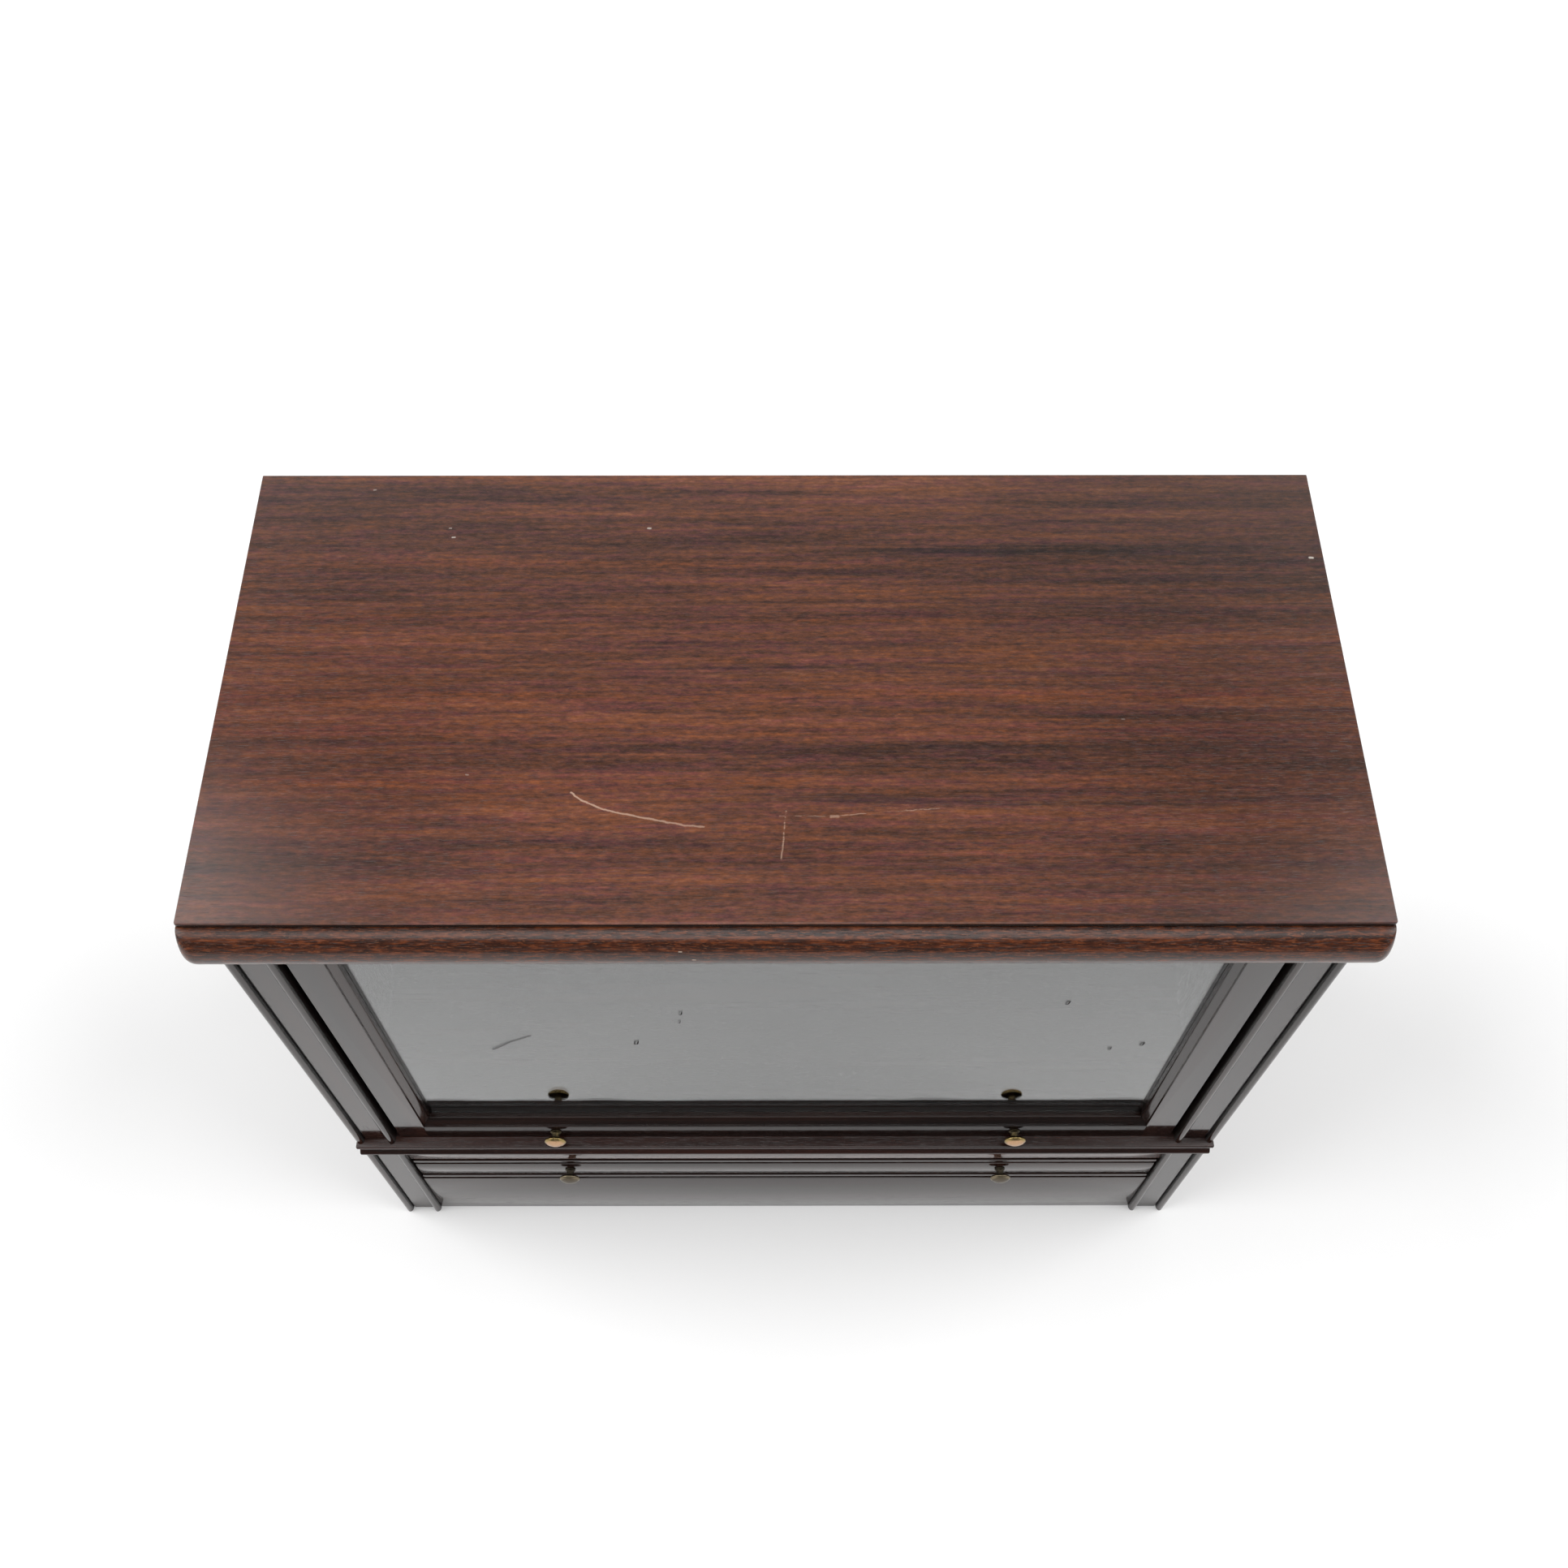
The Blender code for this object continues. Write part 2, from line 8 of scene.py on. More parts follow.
import bmesh
import bpy
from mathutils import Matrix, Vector


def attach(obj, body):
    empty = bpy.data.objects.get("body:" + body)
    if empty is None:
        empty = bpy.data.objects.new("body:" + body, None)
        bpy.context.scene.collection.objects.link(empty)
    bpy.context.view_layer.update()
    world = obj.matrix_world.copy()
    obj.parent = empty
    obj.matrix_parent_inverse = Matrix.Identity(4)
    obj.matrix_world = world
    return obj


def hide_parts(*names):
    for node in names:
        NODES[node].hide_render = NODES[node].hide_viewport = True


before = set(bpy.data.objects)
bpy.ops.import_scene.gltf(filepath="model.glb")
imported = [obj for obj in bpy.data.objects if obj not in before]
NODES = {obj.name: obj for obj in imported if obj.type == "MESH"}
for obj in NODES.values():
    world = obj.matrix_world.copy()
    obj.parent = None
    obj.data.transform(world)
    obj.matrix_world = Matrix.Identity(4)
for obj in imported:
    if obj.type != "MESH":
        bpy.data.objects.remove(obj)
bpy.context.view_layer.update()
MID_Y = 202.725


def put(x, y, z):
    return Vector((x, y - MID_Y, z)) / 1000.0


def curve_through(points, per_span=6):
    """A smooth run of points through the given ones (Catmull-Rom)."""
    out = []
    for i in range(len(points) - 1):
        p0 = points[max(i - 1, 0)]
        p1, p2 = points[i], points[i + 1]
        p3 = points[min(i + 2, len(points) - 1)]
        for s in range(per_span):
            t = s / per_span
            out.append(tuple(0.5 * (2 * b + (c - a) * t + (2 * a - 5 * b + 4 * c - d) * t * t
                                    + (3 * b - a - 3 * c + d) * t ** 3) for a, b, c, d in zip(p0, p1, p2, p3)))
    out.append(points[-1])
    return out


# =============================================================================== node helpers
class Nodes:
    """A thin wrapper that makes and links shader nodes."""

    def __init__(self, tree):
        self.tree = tree
        self.n = tree.nodes
        self.l = tree.links

    def new(self, kind, **props):
        node = self.n.new(kind)
        for key, value in props.items():
            setattr(node, key, value)
        return node

    def link(self, a, b):
        self.l.new(a, b)

    def feed(self, socket, value):
        if isinstance(value, bpy.types.NodeSocket):
            self.l.new(value, socket)
        else:
            socket.default_value = value

    def math(self, op, a, b=None, clamp=False):
        node = self.new("ShaderNodeMath", operation=op, use_clamp=clamp)
        self.feed(node.inputs[0], a)
        if b is not None:
            self.feed(node.inputs[1], b)
        return node.outputs[0]

    def vmath(self, op, a, b=None):
        node = self.new("ShaderNodeVectorMath", operation=op)
        self.feed(node.inputs[0], a)
        if b is not None:
            self.feed(node.inputs[1], b)
        return node.outputs["Value"] if op in ("LENGTH", "DOT_PRODUCT", "DISTANCE") else node.outputs[0]

    def mapping(self, vector, scale, location=(0, 0, 0)):
        node = self.new("ShaderNodeMapping")
        self.feed(node.inputs["Vector"], vector)
        node.inputs["Scale"].default_value = scale
        node.inputs["Location"].default_value = location
        return node.outputs[0]

    def noise(self, vector, scale=1.0, detail=2.0, roughness=0.5, distortion=0.0):
        node = self.new("ShaderNodeTexNoise")
        self.feed(node.inputs["Vector"], vector)
        node.inputs["Scale"].default_value = scale
        node.inputs["Detail"].default_value = detail
        node.inputs["Roughness"].default_value = roughness
        node.inputs["Distortion"].default_value = distortion
        return node.outputs["Fac"]

    def ramp(self, fac, stops, interpolation='LINEAR'):
        node = self.new("ShaderNodeValToRGB")
        self.feed(node.inputs[0], fac)
        node.color_ramp.interpolation = interpolation
        elements = node.color_ramp.elements
        while len(elements) < len(stops):
            elements.new(0.5)
        for element, (at, colour) in zip(elements, stops):
            element.position = at
            element.color = (*colour, 1.0) if hasattr(colour, "__len__") else (colour, colour, colour, 1.0)
        return node.outputs[0]

    def span(self, value, low, high, out_low=0.0, out_high=1.0, smooth=False):
        node = self.new("ShaderNodeMapRange", interpolation_type='SMOOTHSTEP' if smooth else 'LINEAR', clamp=True)
        self.feed(node.inputs["Value"], value)
        node.inputs["From Min"].default_value = low
        node.inputs["From Max"].default_value = high
        node.inputs["To Min"].default_value = out_low
        node.inputs["To Max"].default_value = out_high
        return node.outputs[0]

    def mix(self, fac, a, b, blend='MIX'):
        node = self.new("ShaderNodeMix", data_type='RGBA', blend_type=blend)
        self.feed(node.inputs[0], fac)
        self.feed(node.inputs[6], a if isinstance(a, bpy.types.NodeSocket) else (*a, 1.0))
        self.feed(node.inputs[7], b if isinstance(b, bpy.types.NodeSocket) else (*b, 1.0))
        return node.outputs[2]

    def mixf(self, fac, a, b):
        node = self.new("ShaderNodeMix", data_type='FLOAT')
        self.feed(node.inputs[0], fac)
        self.feed(node.inputs[2], a)
        self.feed(node.inputs[3], b)
        return node.outputs[0]

    def bump(self, height, distance, strength=1.0, normal=None):
        node = self.new("ShaderNodeBump")
        node.inputs["Distance"].default_value = distance
        node.inputs["Strength"].default_value = strength
        self.feed(node.inputs["Height"], height)
        if normal is not None:
            self.feed(node.inputs["Normal"], normal)
        return node.outputs[0]

    def near_path(self, where, points, width):
        """1 on a path of straight stretches, 0 further from it than width."""
        best = None
        for a, b in zip(points, points[1:]):
            a, b = Vector(a), Vector(b)
            run = b - a
            rel = self.vmath('SUBTRACT', where, tuple(a))
            along = self.math('DIVIDE', self.vmath('DOT_PRODUCT', rel, tuple(run)), max(run.length_squared, 1e-9))
            along = self.math('MINIMUM', self.math('MAXIMUM', along, 0.0), 1.0)
            scaled = self.new("ShaderNodeVectorMath", operation='SCALE')
            scaled.inputs[0].default_value = tuple(run)
            self.feed(scaled.inputs["Scale"], along)
            gap = self.vmath('LENGTH', self.vmath('SUBTRACT', rel, scaled.outputs[0]))
            best = gap if best is None else self.math('MINIMUM', best, gap)
        return self.span(best, width * 0.35, width, 1.0, 0.0)


def start_material(name):
    mat = bpy.data.materials.new(name)
    mat.use_nodes = True
    nodes = Nodes(mat.node_tree)
    shader = mat.node_tree.nodes["Principled BSDF"]
    place = nodes.new("ShaderNodeTexCoord").outputs["Object"]
    return mat, nodes, shader, place


GRAIN = {"X": lambda a, c: (a, c, c), "Y": lambda a, c: (c, a, c), "Z": lambda a, c: (c, c, a)}


def wood_layers(k, place, axis, seed, dark, mid, warm, stripe=46.0, drift=1.3, pore_depth=0.55, fleck=0.25,
                stripe_stops=(0.34, 0.46, 0.56, 0.68)):
    """Striped mahogany: broad ribbon stripes, fine fibres, pores and pale flecks, all drawn out along the grain."""
    g = GRAIN[axis]
    shift = (seed * 3.17, seed * 1.71, seed * 2.39)
    # the grain wavers a little
    waver = k.noise(k.mapping(place, g(1.6, 6.0), shift), 1.0, 2.0, 0.5)
    waver = k.math('MULTIPLY', k.math('SUBTRACT', waver, 0.5), 0.006)
    comb = k.new("ShaderNodeCombineXYZ")
    for i, letter in enumerate("XYZ"):
        if letter != axis:
            k.link(waver, comb.inputs[i])
    moved = k.vmath('ADD', place, comb.outputs[0])
    ribbon = k.noise(k.mapping(moved, g(drift, stripe), shift), 1.0, 3.0, 0.55)
    fine_ribbon = k.noise(k.mapping(moved, g(drift * 4.0, stripe * 4.3), (shift[1], shift[2], shift[0])), 1.0, 3.0, 0.6)
    tone = k.math('ADD', k.math('MULTIPLY', ribbon, 0.68), k.math('MULTIPLY', fine_ribbon, 0.32))
    colour = k.ramp(tone, [(stripe_stops[0], dark), (stripe_stops[1], tuple((a + b) / 2 for a, b in zip(dark, mid))),
                           (stripe_stops[2], mid), (stripe_stops[3], warm)])
    fibre = k.noise(k.mapping(moved, g(26.0, 820.0), shift), 1.0, 3.0, 0.65)
    colour = k.mix(k.span(fibre, 0.3, 0.7, 0.32, 0.0), colour, tuple(c * 0.45 for c in dark))
    pores = k.noise(k.mapping(moved, g(75.0, 1900.0), (shift[2], shift[0], shift[1])), 1.0, 2.0, 0.5)
    pore = k.span(pores, 0.60, 0.68)
    colour = k.mix(k.math('MULTIPLY', pore, pore_depth), colour, tuple(c * 0.25 for c in dark))
    flecks = k.noise(k.mapping(moved, g(120.0, 1500.0), (shift[0] + 7.0, shift[2], shift[1])), 1.0, 2.0, 0.55)
    fleck_mask = k.span(flecks, 0.62, 0.72)
    colour = k.mix(k.math('MULTIPLY', fleck_mask, fleck), colour, tuple(min(1.0, c * 2.1 + 0.02) for c in warm))
    return colour, fibre, pore, tone


def finish_wood(k, shader, colour, fibre, pore, place, seed, rough, rough_swing, grain_height, coat=0.0,
                coat_rough=0.08, wear=None, dust_and_sheen=0.0):
    shader_in = shader.inputs
    smears = k.noise(k.mapping(place, (9.0, 9.0, 9.0), (seed, seed * 2.0, 0.0)), 1.0, 4.0, 0.6)
    roughness = k.math('ADD', rough, k.math('MULTIPLY', k.math('SUBTRACT', smears, 0.5), rough_swing))
    roughness = k.math('ADD', roughness, k.math('MULTIPLY', pore, 0.12))
    if dust_and_sheen:
        colour = k.mix(k.span(smears, 0.5, 0.75, 0.0, dust_and_sheen), colour, (0.20, 0.17, 0.155))
    if wear is not None:
        colour = k.mix(wear, colour, (0.23, 0.12, 0.075))
        roughness = k.math('ADD', roughness, k.math('MULTIPLY', wear, 0.2))
    k.link(colour, shader_in["Base Color"])
    k.link(k.math('MINIMUM', k.math('MAXIMUM', roughness, 0.02), 0.95), shader_in["Roughness"])
    height = k.math('SUBTRACT', k.math('MULTIPLY', fibre, 0.35), pore)
    k.link(k.bump(height, grain_height), shader_in["Normal"])
    shader_in["IOR"].default_value = 1.5
    shader_in["Coat Weight"].default_value = coat
    shader_in["Coat Roughness"].default_value = coat_rough


FRONT = dict(dark=(0.009, 0.0045, 0.0040), mid=(0.024, 0.0100, 0.0072), warm=(0.045, 0.0155, 0.0095))
RAIL = dict(dark=(0.020, 0.0064, 0.0042), mid=(0.063, 0.0185, 0.0112), warm=(0.105, 0.0310, 0.0165))
# DOOR_RAIL: the front's wood at about half the brightness, painted shade on the door's rails
DOOR_RAIL = dict(dark=(0.005, 0.0025, 0.0022), mid=(0.013, 0.0057, 0.0043), warm=(0.025, 0.0095, 0.0063))
LEDGE = dict(dark=(0.010, 0.0038, 0.0028), mid=(0.034, 0.0095, 0.0060), warm=(0.064, 0.0175, 0.0085))
NOSE = dict(dark=(0.017, 0.0058, 0.0036), mid=(0.074, 0.0205, 0.0074), warm=(0.150, 0.042, 0.012))
SIDES = dict(dark=(0.014, 0.006, 0.0045), mid=(0.038, 0.013, 0.008), warm=(0.072, 0.024, 0.012))


def varnished(name, axis, seed, palette, rough=0.13, swing=0.05, height=0.00002, dust_and_sheen=0.0, coat=0.0, ior=1.5,
              **more):
    mat, k, shader, place = start_material(name)
    colour, fibre, pore, tone = wood_layers(k, place, axis, seed, **palette, **more)
    finish_wood(k, shader, colour, fibre, pore, place, seed, rough, swing, height, dust_and_sheen=dust_and_sheen, coat=coat)
    shader.inputs["IOR"].default_value = ior
    return mat


def upright_material(name, seed, dark_bands, rough=0.10, coat=0.0):
    """Polished upright pieces, made darker and duller in narrow bands: on the posts this is painted shade in the gap
    beside the inner bead and in the quirk, and on the stiles the moulding beside the glass is made darker and duller.
    Each band: (nearest, furthest) distance from the middle in millimetres, and how much."""
    mat, k, shader, place = start_material(name)
    colour, fibre, pore, tone = wood_layers(k, place, "Z", seed, **FRONT)
    finish_wood(k, shader, colour, fibre, pore, place, seed, rough, 0.05, 0.00002, coat=coat, coat_rough=0.05)
    where = k.new("ShaderNodeSeparateXYZ")
    k.link(place, where.inputs[0])
    out = k.math('ABSOLUTE', where.outputs[0])
    patch = k.noise(k.mapping(place, (90.0, 90.0, 22.0), (seed, 0, 2)), 1.0, 4.0, 0.65)
    out = k.math('ADD', out, k.math('MULTIPLY', k.math('SUBTRACT', patch, 0.5), 0.0007))
    darkening = None
    for near, far, soft, share in dark_bands:
        one = k.math('MULTIPLY', k.span(out, (near - soft) / 1000.0, near / 1000.0),
                     k.span(out, far / 1000.0, (far + soft) / 1000.0, share, 0.0))
        darkening = one if darkening is None else k.math('MAXIMUM', darkening, one)
    base = shader.inputs["Base Color"].links[0].from_socket
    gloss = shader.inputs["Roughness"].links[0].from_socket
    # painted shade on the posts: the bands are mixed towards near-black and made duller; the stiles' band beside the
    # glass is darkened the same way
    k.link(k.mix(darkening, base, (0.0045, 0.0038, 0.0033)), shader.inputs["Base Color"])
    k.link(k.math('ADD', gloss, k.math('MULTIPLY', darkening, 0.28)), shader.inputs["Roughness"])
    return mat


def top_material():
    """Quarter-cut striped veneer: long bands, streaks, threads and short dashes that differ in tone and in hue,
    with the scratches and knocks of use."""
    mat, k, shader, place = start_material("top_striped_mahogany")
    where = k.new("ShaderNodeSeparateXYZ")
    k.link(place, where.inputs[0])
    x, y = where.outputs[0], where.outputs[1]
    # the grain wavers a little
    waver = k.math('ADD', k.noise(k.mapping(place, (1.4, 5.0, 1.0), (12.7, 6.8, 9.6)), 1.0, 2.0, 0.5),
                   k.math('MULTIPLY', k.noise(k.mapping(place, (9.0, 30.0, 1.0), (2.7, 1.8, 4.6)), 1.0, 2.0, 0.5), 0.12))
    lift = k.new("ShaderNodeCombineXYZ")
    k.link(k.math('MULTIPLY', k.math('SUBTRACT', waver, 0.56), 0.012), lift.inputs[1])
    moved = k.vmath('ADD', place, lift.outputs[0])

    def layer(along, across, shift, detail, rough):
        return k.noise(k.mapping(moved, (along, across, 1.0), shift), 1.0, detail, rough)

    bands = layer(1.1, 27.0, (4.1, 3.3, 0.5), 4.0, 0.62)
    streaks = layer(4.6, 120.0, (1.3, 7.7, 2.5), 4.0, 0.66)
    threads = layer(20.0, 420.0, (9.2, 5.1, 4.5), 3.0, 0.65)
    dashes = layer(115.0, 340.0, (5.6, 2.2, 6.5), 3.0, 0.70)
    fine = layer(300.0, 950.0, (3.4, 8.8, 8.5), 2.0, 0.60)
    tone = k.math('MULTIPLY', bands, 0.27)
    for part, share in ((streaks, 0.22), (threads, 0.15), (dashes, 0.26), (fine, 0.10)):
        tone = k.math('ADD', tone, k.math('MULTIPLY', part, share))
    colour = k.ramp(tone, [(0.400, (0.040, 0.020, 0.016)), (0.455, (0.075, 0.034, 0.025)),
                           (0.500, (0.116, 0.047, 0.032)), (0.545, (0.164, 0.062, 0.036)),
                           (0.610, (0.255, 0.100, 0.056))])
    # hue: orange and pink threads, greyer stretches
    hue_a = layer(9.0, 210.0, (6.6, 1.2, 0.9), 3.0, 0.68)
    hue_b = layer(70.0, 300.0, (2.6, 4.2, 5.9), 3.0, 0.68)
    hue = k.math('ADD', k.math('MULTIPLY', hue_a, 0.55), k.math('MULTIPLY', hue_b, 0.45))
    colour = k.mix(k.span(hue, 0.50, 0.60, 0.0, 1.0), colour, (1.10, 1.00, 0.78), 'MULTIPLY')
    colour = k.mix(k.span(hue, 0.50, 0.41, 0.0, 1.0), colour, (1.02, 0.90, 1.20), 'MULTIPLY')
    # clusters of dark streaks, stronger towards the right, and redder bands between them
    patchy = layer(3.0, 60.0, (8.0, 2.0, 0.0), 3.0, 0.6)
    cluster = layer(3.4, 230.0, (3.9, 6.1, 7.0), 3.0, 0.62)
    rightward = k.span(x, -0.30, 0.10, 0.45, 1.0, smooth=True)
    for centre, half, strength, shade in (
            (0.196, 0.008, 0.75, (0.62, 0.72, 0.84)), (0.172, 0.005, 0.55, (0.66, 0.76, 0.88)),
            (0.143, 0.010, 0.95, (0.54, 0.66, 0.80)), (0.112, 0.005, 0.55, (0.66, 0.76, 0.88)),
            (0.085, 0.007, 0.95, (0.55, 0.66, 0.78)), (0.062, 0.004, 0.60, (0.64, 0.74, 0.86)),
            (0.044, 0.006, 0.80, (0.60, 0.70, 0.82)), (0.021, 0.008, 1.00, (0.50, 0.62, 0.76)),
            (0.008, 0.004, 0.60, (0.64, 0.74, 0.86)), (-0.021, 0.006, 0.80, (0.60, 0.70, 0.82)),
            (-0.051, 0.006, 0.85, (0.58, 0.68, 0.80)), (-0.070, 0.004, 0.60, (0.64, 0.74, 0.86)),
            (-0.098, 0.009, 1.00, (0.50, 0.62, 0.76)), (-0.130, 0.005, 0.60, (0.62, 0.72, 0.84)),
            (-0.157, 0.006, 0.75, (0.60, 0.70, 0.82)), (-0.180, 0.005, 0.50, (0.66, 0.76, 0.86)),
            (0.128, 0.006, 0.60, (1.22, 1.02, 0.86)), (0.073, 0.006, 0.60, (1.24, 1.04, 0.84)),
            (-0.003, 0.006, 0.65, (1.25, 1.05, 0.84)), (-0.036, 0.006, 0.60, (1.24, 1.06, 0.86)),
            (-0.083, 0.006, 0.65, (1.25, 1.08, 0.86)), (-0.143, 0.006, 0.55, (1.22, 1.08, 0.90))):
        off = k.math('ABSOLUTE', k.math('SUBTRACT', k.math('ADD', y, k.math('MULTIPLY', k.math(
            'SUBTRACT', waver, 0.56), 0.016)), centre))
        band = k.math('MULTIPLY', k.span(off, half * 0.2, half * 1.5, strength, 0.0, smooth=True),
                      k.math('MULTIPLY', k.span(patchy, 0.36, 0.56, 0.15, 1.0), k.span(cluster, 0.40, 0.56, 0.2, 1.0)))
        if shade[0] < 1.0:
            band = k.math('MULTIPLY', band, rightward)
        colour = k.mix(band, colour, shade, 'MULTIPLY')
    # a little darker towards the right and the back
    colour = k.mix(k.span(x, -0.15, 0.46, 0.0, 1.0, smooth=True), colour, (0.82, 0.84, 0.84), 'MULTIPLY')
    colour = k.mix(k.span(y, -0.05, 0.22, 0.0, 1.0, smooth=True), colour, (0.88, 0.93, 0.95), 'MULTIPLY')
    # painted shade: darker at the left and right towards the front, holding back the side lamps' sheen
    sides = k.math('MULTIPLY', k.span(k.math('ABSOLUTE', x), 0.12, 0.40, 0.0, 1.0, smooth=True),
                   k.span(y, 0.12, -0.10, 0.25, 1.0, smooth=True))
    colour = k.mix(sides, colour, (0.70, 0.64, 0.60), 'MULTIPLY')
    back_right = k.math('MULTIPLY', k.span(x, 0.05, 0.38, 0.0, 1.0, smooth=True),
                        k.span(y, 0.02, 0.18, 0.0, 1.0, smooth=True))
    colour = k.mix(back_right, colour, (0.80, 0.84, 0.88), 'MULTIPLY')
    colour = k.mix(1.0, colour, (0.97, 0.92, 0.87), 'MULTIPLY')
    # open pores
    pores = layer(85.0, 1700.0, (7.2, 0.4, 3.3), 2.0, 0.5)
    pore = k.span(pores, 0.60, 0.68)
    colour = k.mix(k.math('MULTIPLY', pore, 0.45), colour, (0.030, 0.014, 0.010))
    # painted sheen at the left front: a greyish glow laid into the colour where a lamp's glare falls
    sheen_noise = k.noise(k.mapping(place, (7.0, 9.0, 1.0), (1.0, 5.0, 0.0)), 1.0, 4.0, 0.62)
    left_front = k.math('MULTIPLY', k.span(x, -0.12, -0.36, 0.0, 1.0, smooth=True),
                        k.span(y, -0.05, -0.19, 0.0, 1.0, smooth=True))
    dust_and_sheen = k.math('MULTIPLY', left_front, k.span(sheen_noise, 0.35, 0.65, 0.0, 0.03))
    colour = k.mix(dust_and_sheen, colour, (0.24, 0.185, 0.165))
    # scratches
    flat = k.new("ShaderNodeCombineXYZ")
    k.link(x, flat.inputs[0])
    k.link(y, flat.inputs[1])
    jitter = k.noise(k.mapping(place, (150.0, 150.0, 1.0)), 1.0, 3.0, 0.6)
    spot = k.new("ShaderNodeCombineXYZ")
    k.link(k.math('MULTIPLY', k.math('SUBTRACT', jitter, 0.5), 0.0022), spot.inputs[1])
    k.link(k.math('MULTIPLY', k.math('SUBTRACT', jitter, 0.5), 0.0016), spot.inputs[0])
    shaken = k.vmath('ADD', flat.outputs[0], spot.outputs[0])
    arc = curve_through([(-0.1647, -0.0919), (-0.1560, -0.0985), (-0.1413, -0.1058), (-0.1270, -0.1098),
                         (-0.1038, -0.1148), (-0.0760, -0.1205), (-0.0620, -0.1215)], 2)
    arc_mask = k.near_path(shaken, [(a, b, 0) for a, b in arc], 0.00105)
    thin = k.near_path(shaken, [(-0.0046, -0.1125, 0), (0.0338, -0.1128, 0)], 0.0006)
    tail = k.near_path(shaken, [(0.0345, -0.1130, 0), (0.0560, -0.1108, 0), (0.0850, -0.1086, 0),
                                (0.1175, -0.1060, 0)], 0.0007)
    blot = k.near_path(shaken, [(0.0345, -0.1132, 0), (0.0400, -0.1128, 0)], 0.0016)
    drip = k.near_path(shaken, [(0.0003, -0.1085, 0), (-0.0010, -0.1200, 0), (-0.0016, -0.1330, 0),
                                (-0.0034, -0.1500, 0)], 0.0008)
    broken = k.span(k.noise(k.mapping(place, (110.0, 300.0, 1.0)), 1.0, 3.0, 0.65), 0.44, 0.56, 0.1, 1.0)
    fade = k.span(x, -0.160, -0.060, 0.85, 0.50)
    scratch = k.math('MULTIPLY', arc_mask, fade)
    for mask, share in ((thin, 0.32), (tail, 0.42), (drip, 0.50)):
        scratch = k.math('MAXIMUM', scratch, k.math('MULTIPLY', k.math('MULTIPLY', mask, share), broken))
    scratch = k.math('MAXIMUM', scratch, k.math('MULTIPLY', blot, 0.45))
    colour = k.mix(scratch, colour, (0.46, 0.30, 0.22))
    # small knocks and specks
    specks = None
    for sx, sy, r, share in ((-0.2825, 0.1639, 0.0008, 0.5), (-0.2788, 0.1544, 0.0010, 0.8),
                             (-0.1146, 0.1637, 0.0011, 0.7), (0.4395, 0.1322, 0.0013, 1.0),
                             (0.2659, -0.0262, 0.0009, 0.2), (-0.2460, -0.0760, 0.0009, 0.3),
                             (-0.3513, 0.2055, 0.0008, 0.5)):
        one = k.math('MULTIPLY', k.near_path(shaken, [(sx - r, sy, 0), (sx + r, sy, 0)], r), share)
        specks = one if specks is None else k.math('MAXIMUM', specks, one)
    colour = k.mix(k.math('MULTIPLY', specks, 0.7), colour, (0.62, 0.56, 0.50))
    # painted shade: the square edge of the panel is made nearly black, for the shadow line under the top's edge
    colour = k.mix(k.span(where.outputs[2], 0.7684, 0.7679), colour, (0.012, 0.006, 0.004))
    grain = k.math('ADD', k.math('MULTIPLY', threads, 0.6), k.math('MULTIPLY', dashes, 0.4))
    finish_wood(k, shader, colour, grain, pore, place, 4.0, 0.23, 0.10, 0.00003)
    return mat


def nosing_material():
    """Reddish bar with mottled short streaks, dark and orange, and a few chips down to the bare wood."""
    mat, k, shader, place = start_material("nosing_mahogany")
    colour, fibre, pore, tone = wood_layers(k, place, "X", 11.0, **NOSE, stripe=190.0, drift=7.0, pore_depth=0.75,
                                            fleck=0.30)
    around = k.mapping(place, (95.0, 620.0, 620.0), (4.0, 1.0, 7.0))
    streak = k.noise(around, 1.0, 3.0, 0.62)
    colour = k.mix(k.span(streak, 0.50, 0.62, 0.0, 0.80), colour, (0.017, 0.0070, 0.0045))
    colour = k.mix(k.span(streak, 0.47, 0.36, 0.0, 0.55), colour, (0.195, 0.056, 0.017))
    short = k.noise(k.mapping(place, (210.0, 900.0, 900.0), (2.0, 6.0, 1.0)), 1.0, 2.0, 0.6)
    colour = k.mix(k.span(short, 0.60, 0.70, 0.0, 0.45), colour, (0.25, 0.100, 0.045))
    chips = None
    for cx, cy, cz, rx, r, share in ((441.0, -12.5, 731.5, 2.2, 1.5, 1.0), (-68.0, -18.9, 747.0, 1.1, 0.6, 0.8),
                                     (-78.0, -16.0, 755.0, 1.0, 0.6, 0.7), (152.0, -18.5, 740.0, 0.8, 0.5, 0.5)):
        centre = put(cx, cy, cz)
        one = k.near_path(place, [tuple(centre - Vector((rx, 0, 0)) / 1000.0),
                                  tuple(centre + Vector((rx, 0, 0)) / 1000.0)], r / 1000.0)
        one = k.math('MULTIPLY', one, share)
        chips = one if chips is None else k.math('MAXIMUM', chips, one)
    colour = k.mix(1.0, colour, (1.0, 0.88, 0.78), 'MULTIPLY')
    colour = k.mix(chips, colour, (0.62, 0.50, 0.40))
    finish_wood(k, shader, colour, fibre, pore, place, 11.0, 0.22, 0.12, 0.00005)
    return mat


def bare_wood(name, axis, seed, dark, mid, warm, rough=0.6):
    mat, k, shader, place = start_material(name)
    colour, fibre, pore, tone = wood_layers(k, place, axis, seed, dark, mid, warm, stripe=60.0, drift=2.0,
                                            pore_depth=0.35, fleck=0.1)
    finish_wood(k, shader, colour, fibre, pore, place, seed, rough, 0.12, 0.00006, dust_and_sheen=0.12)
    return mat


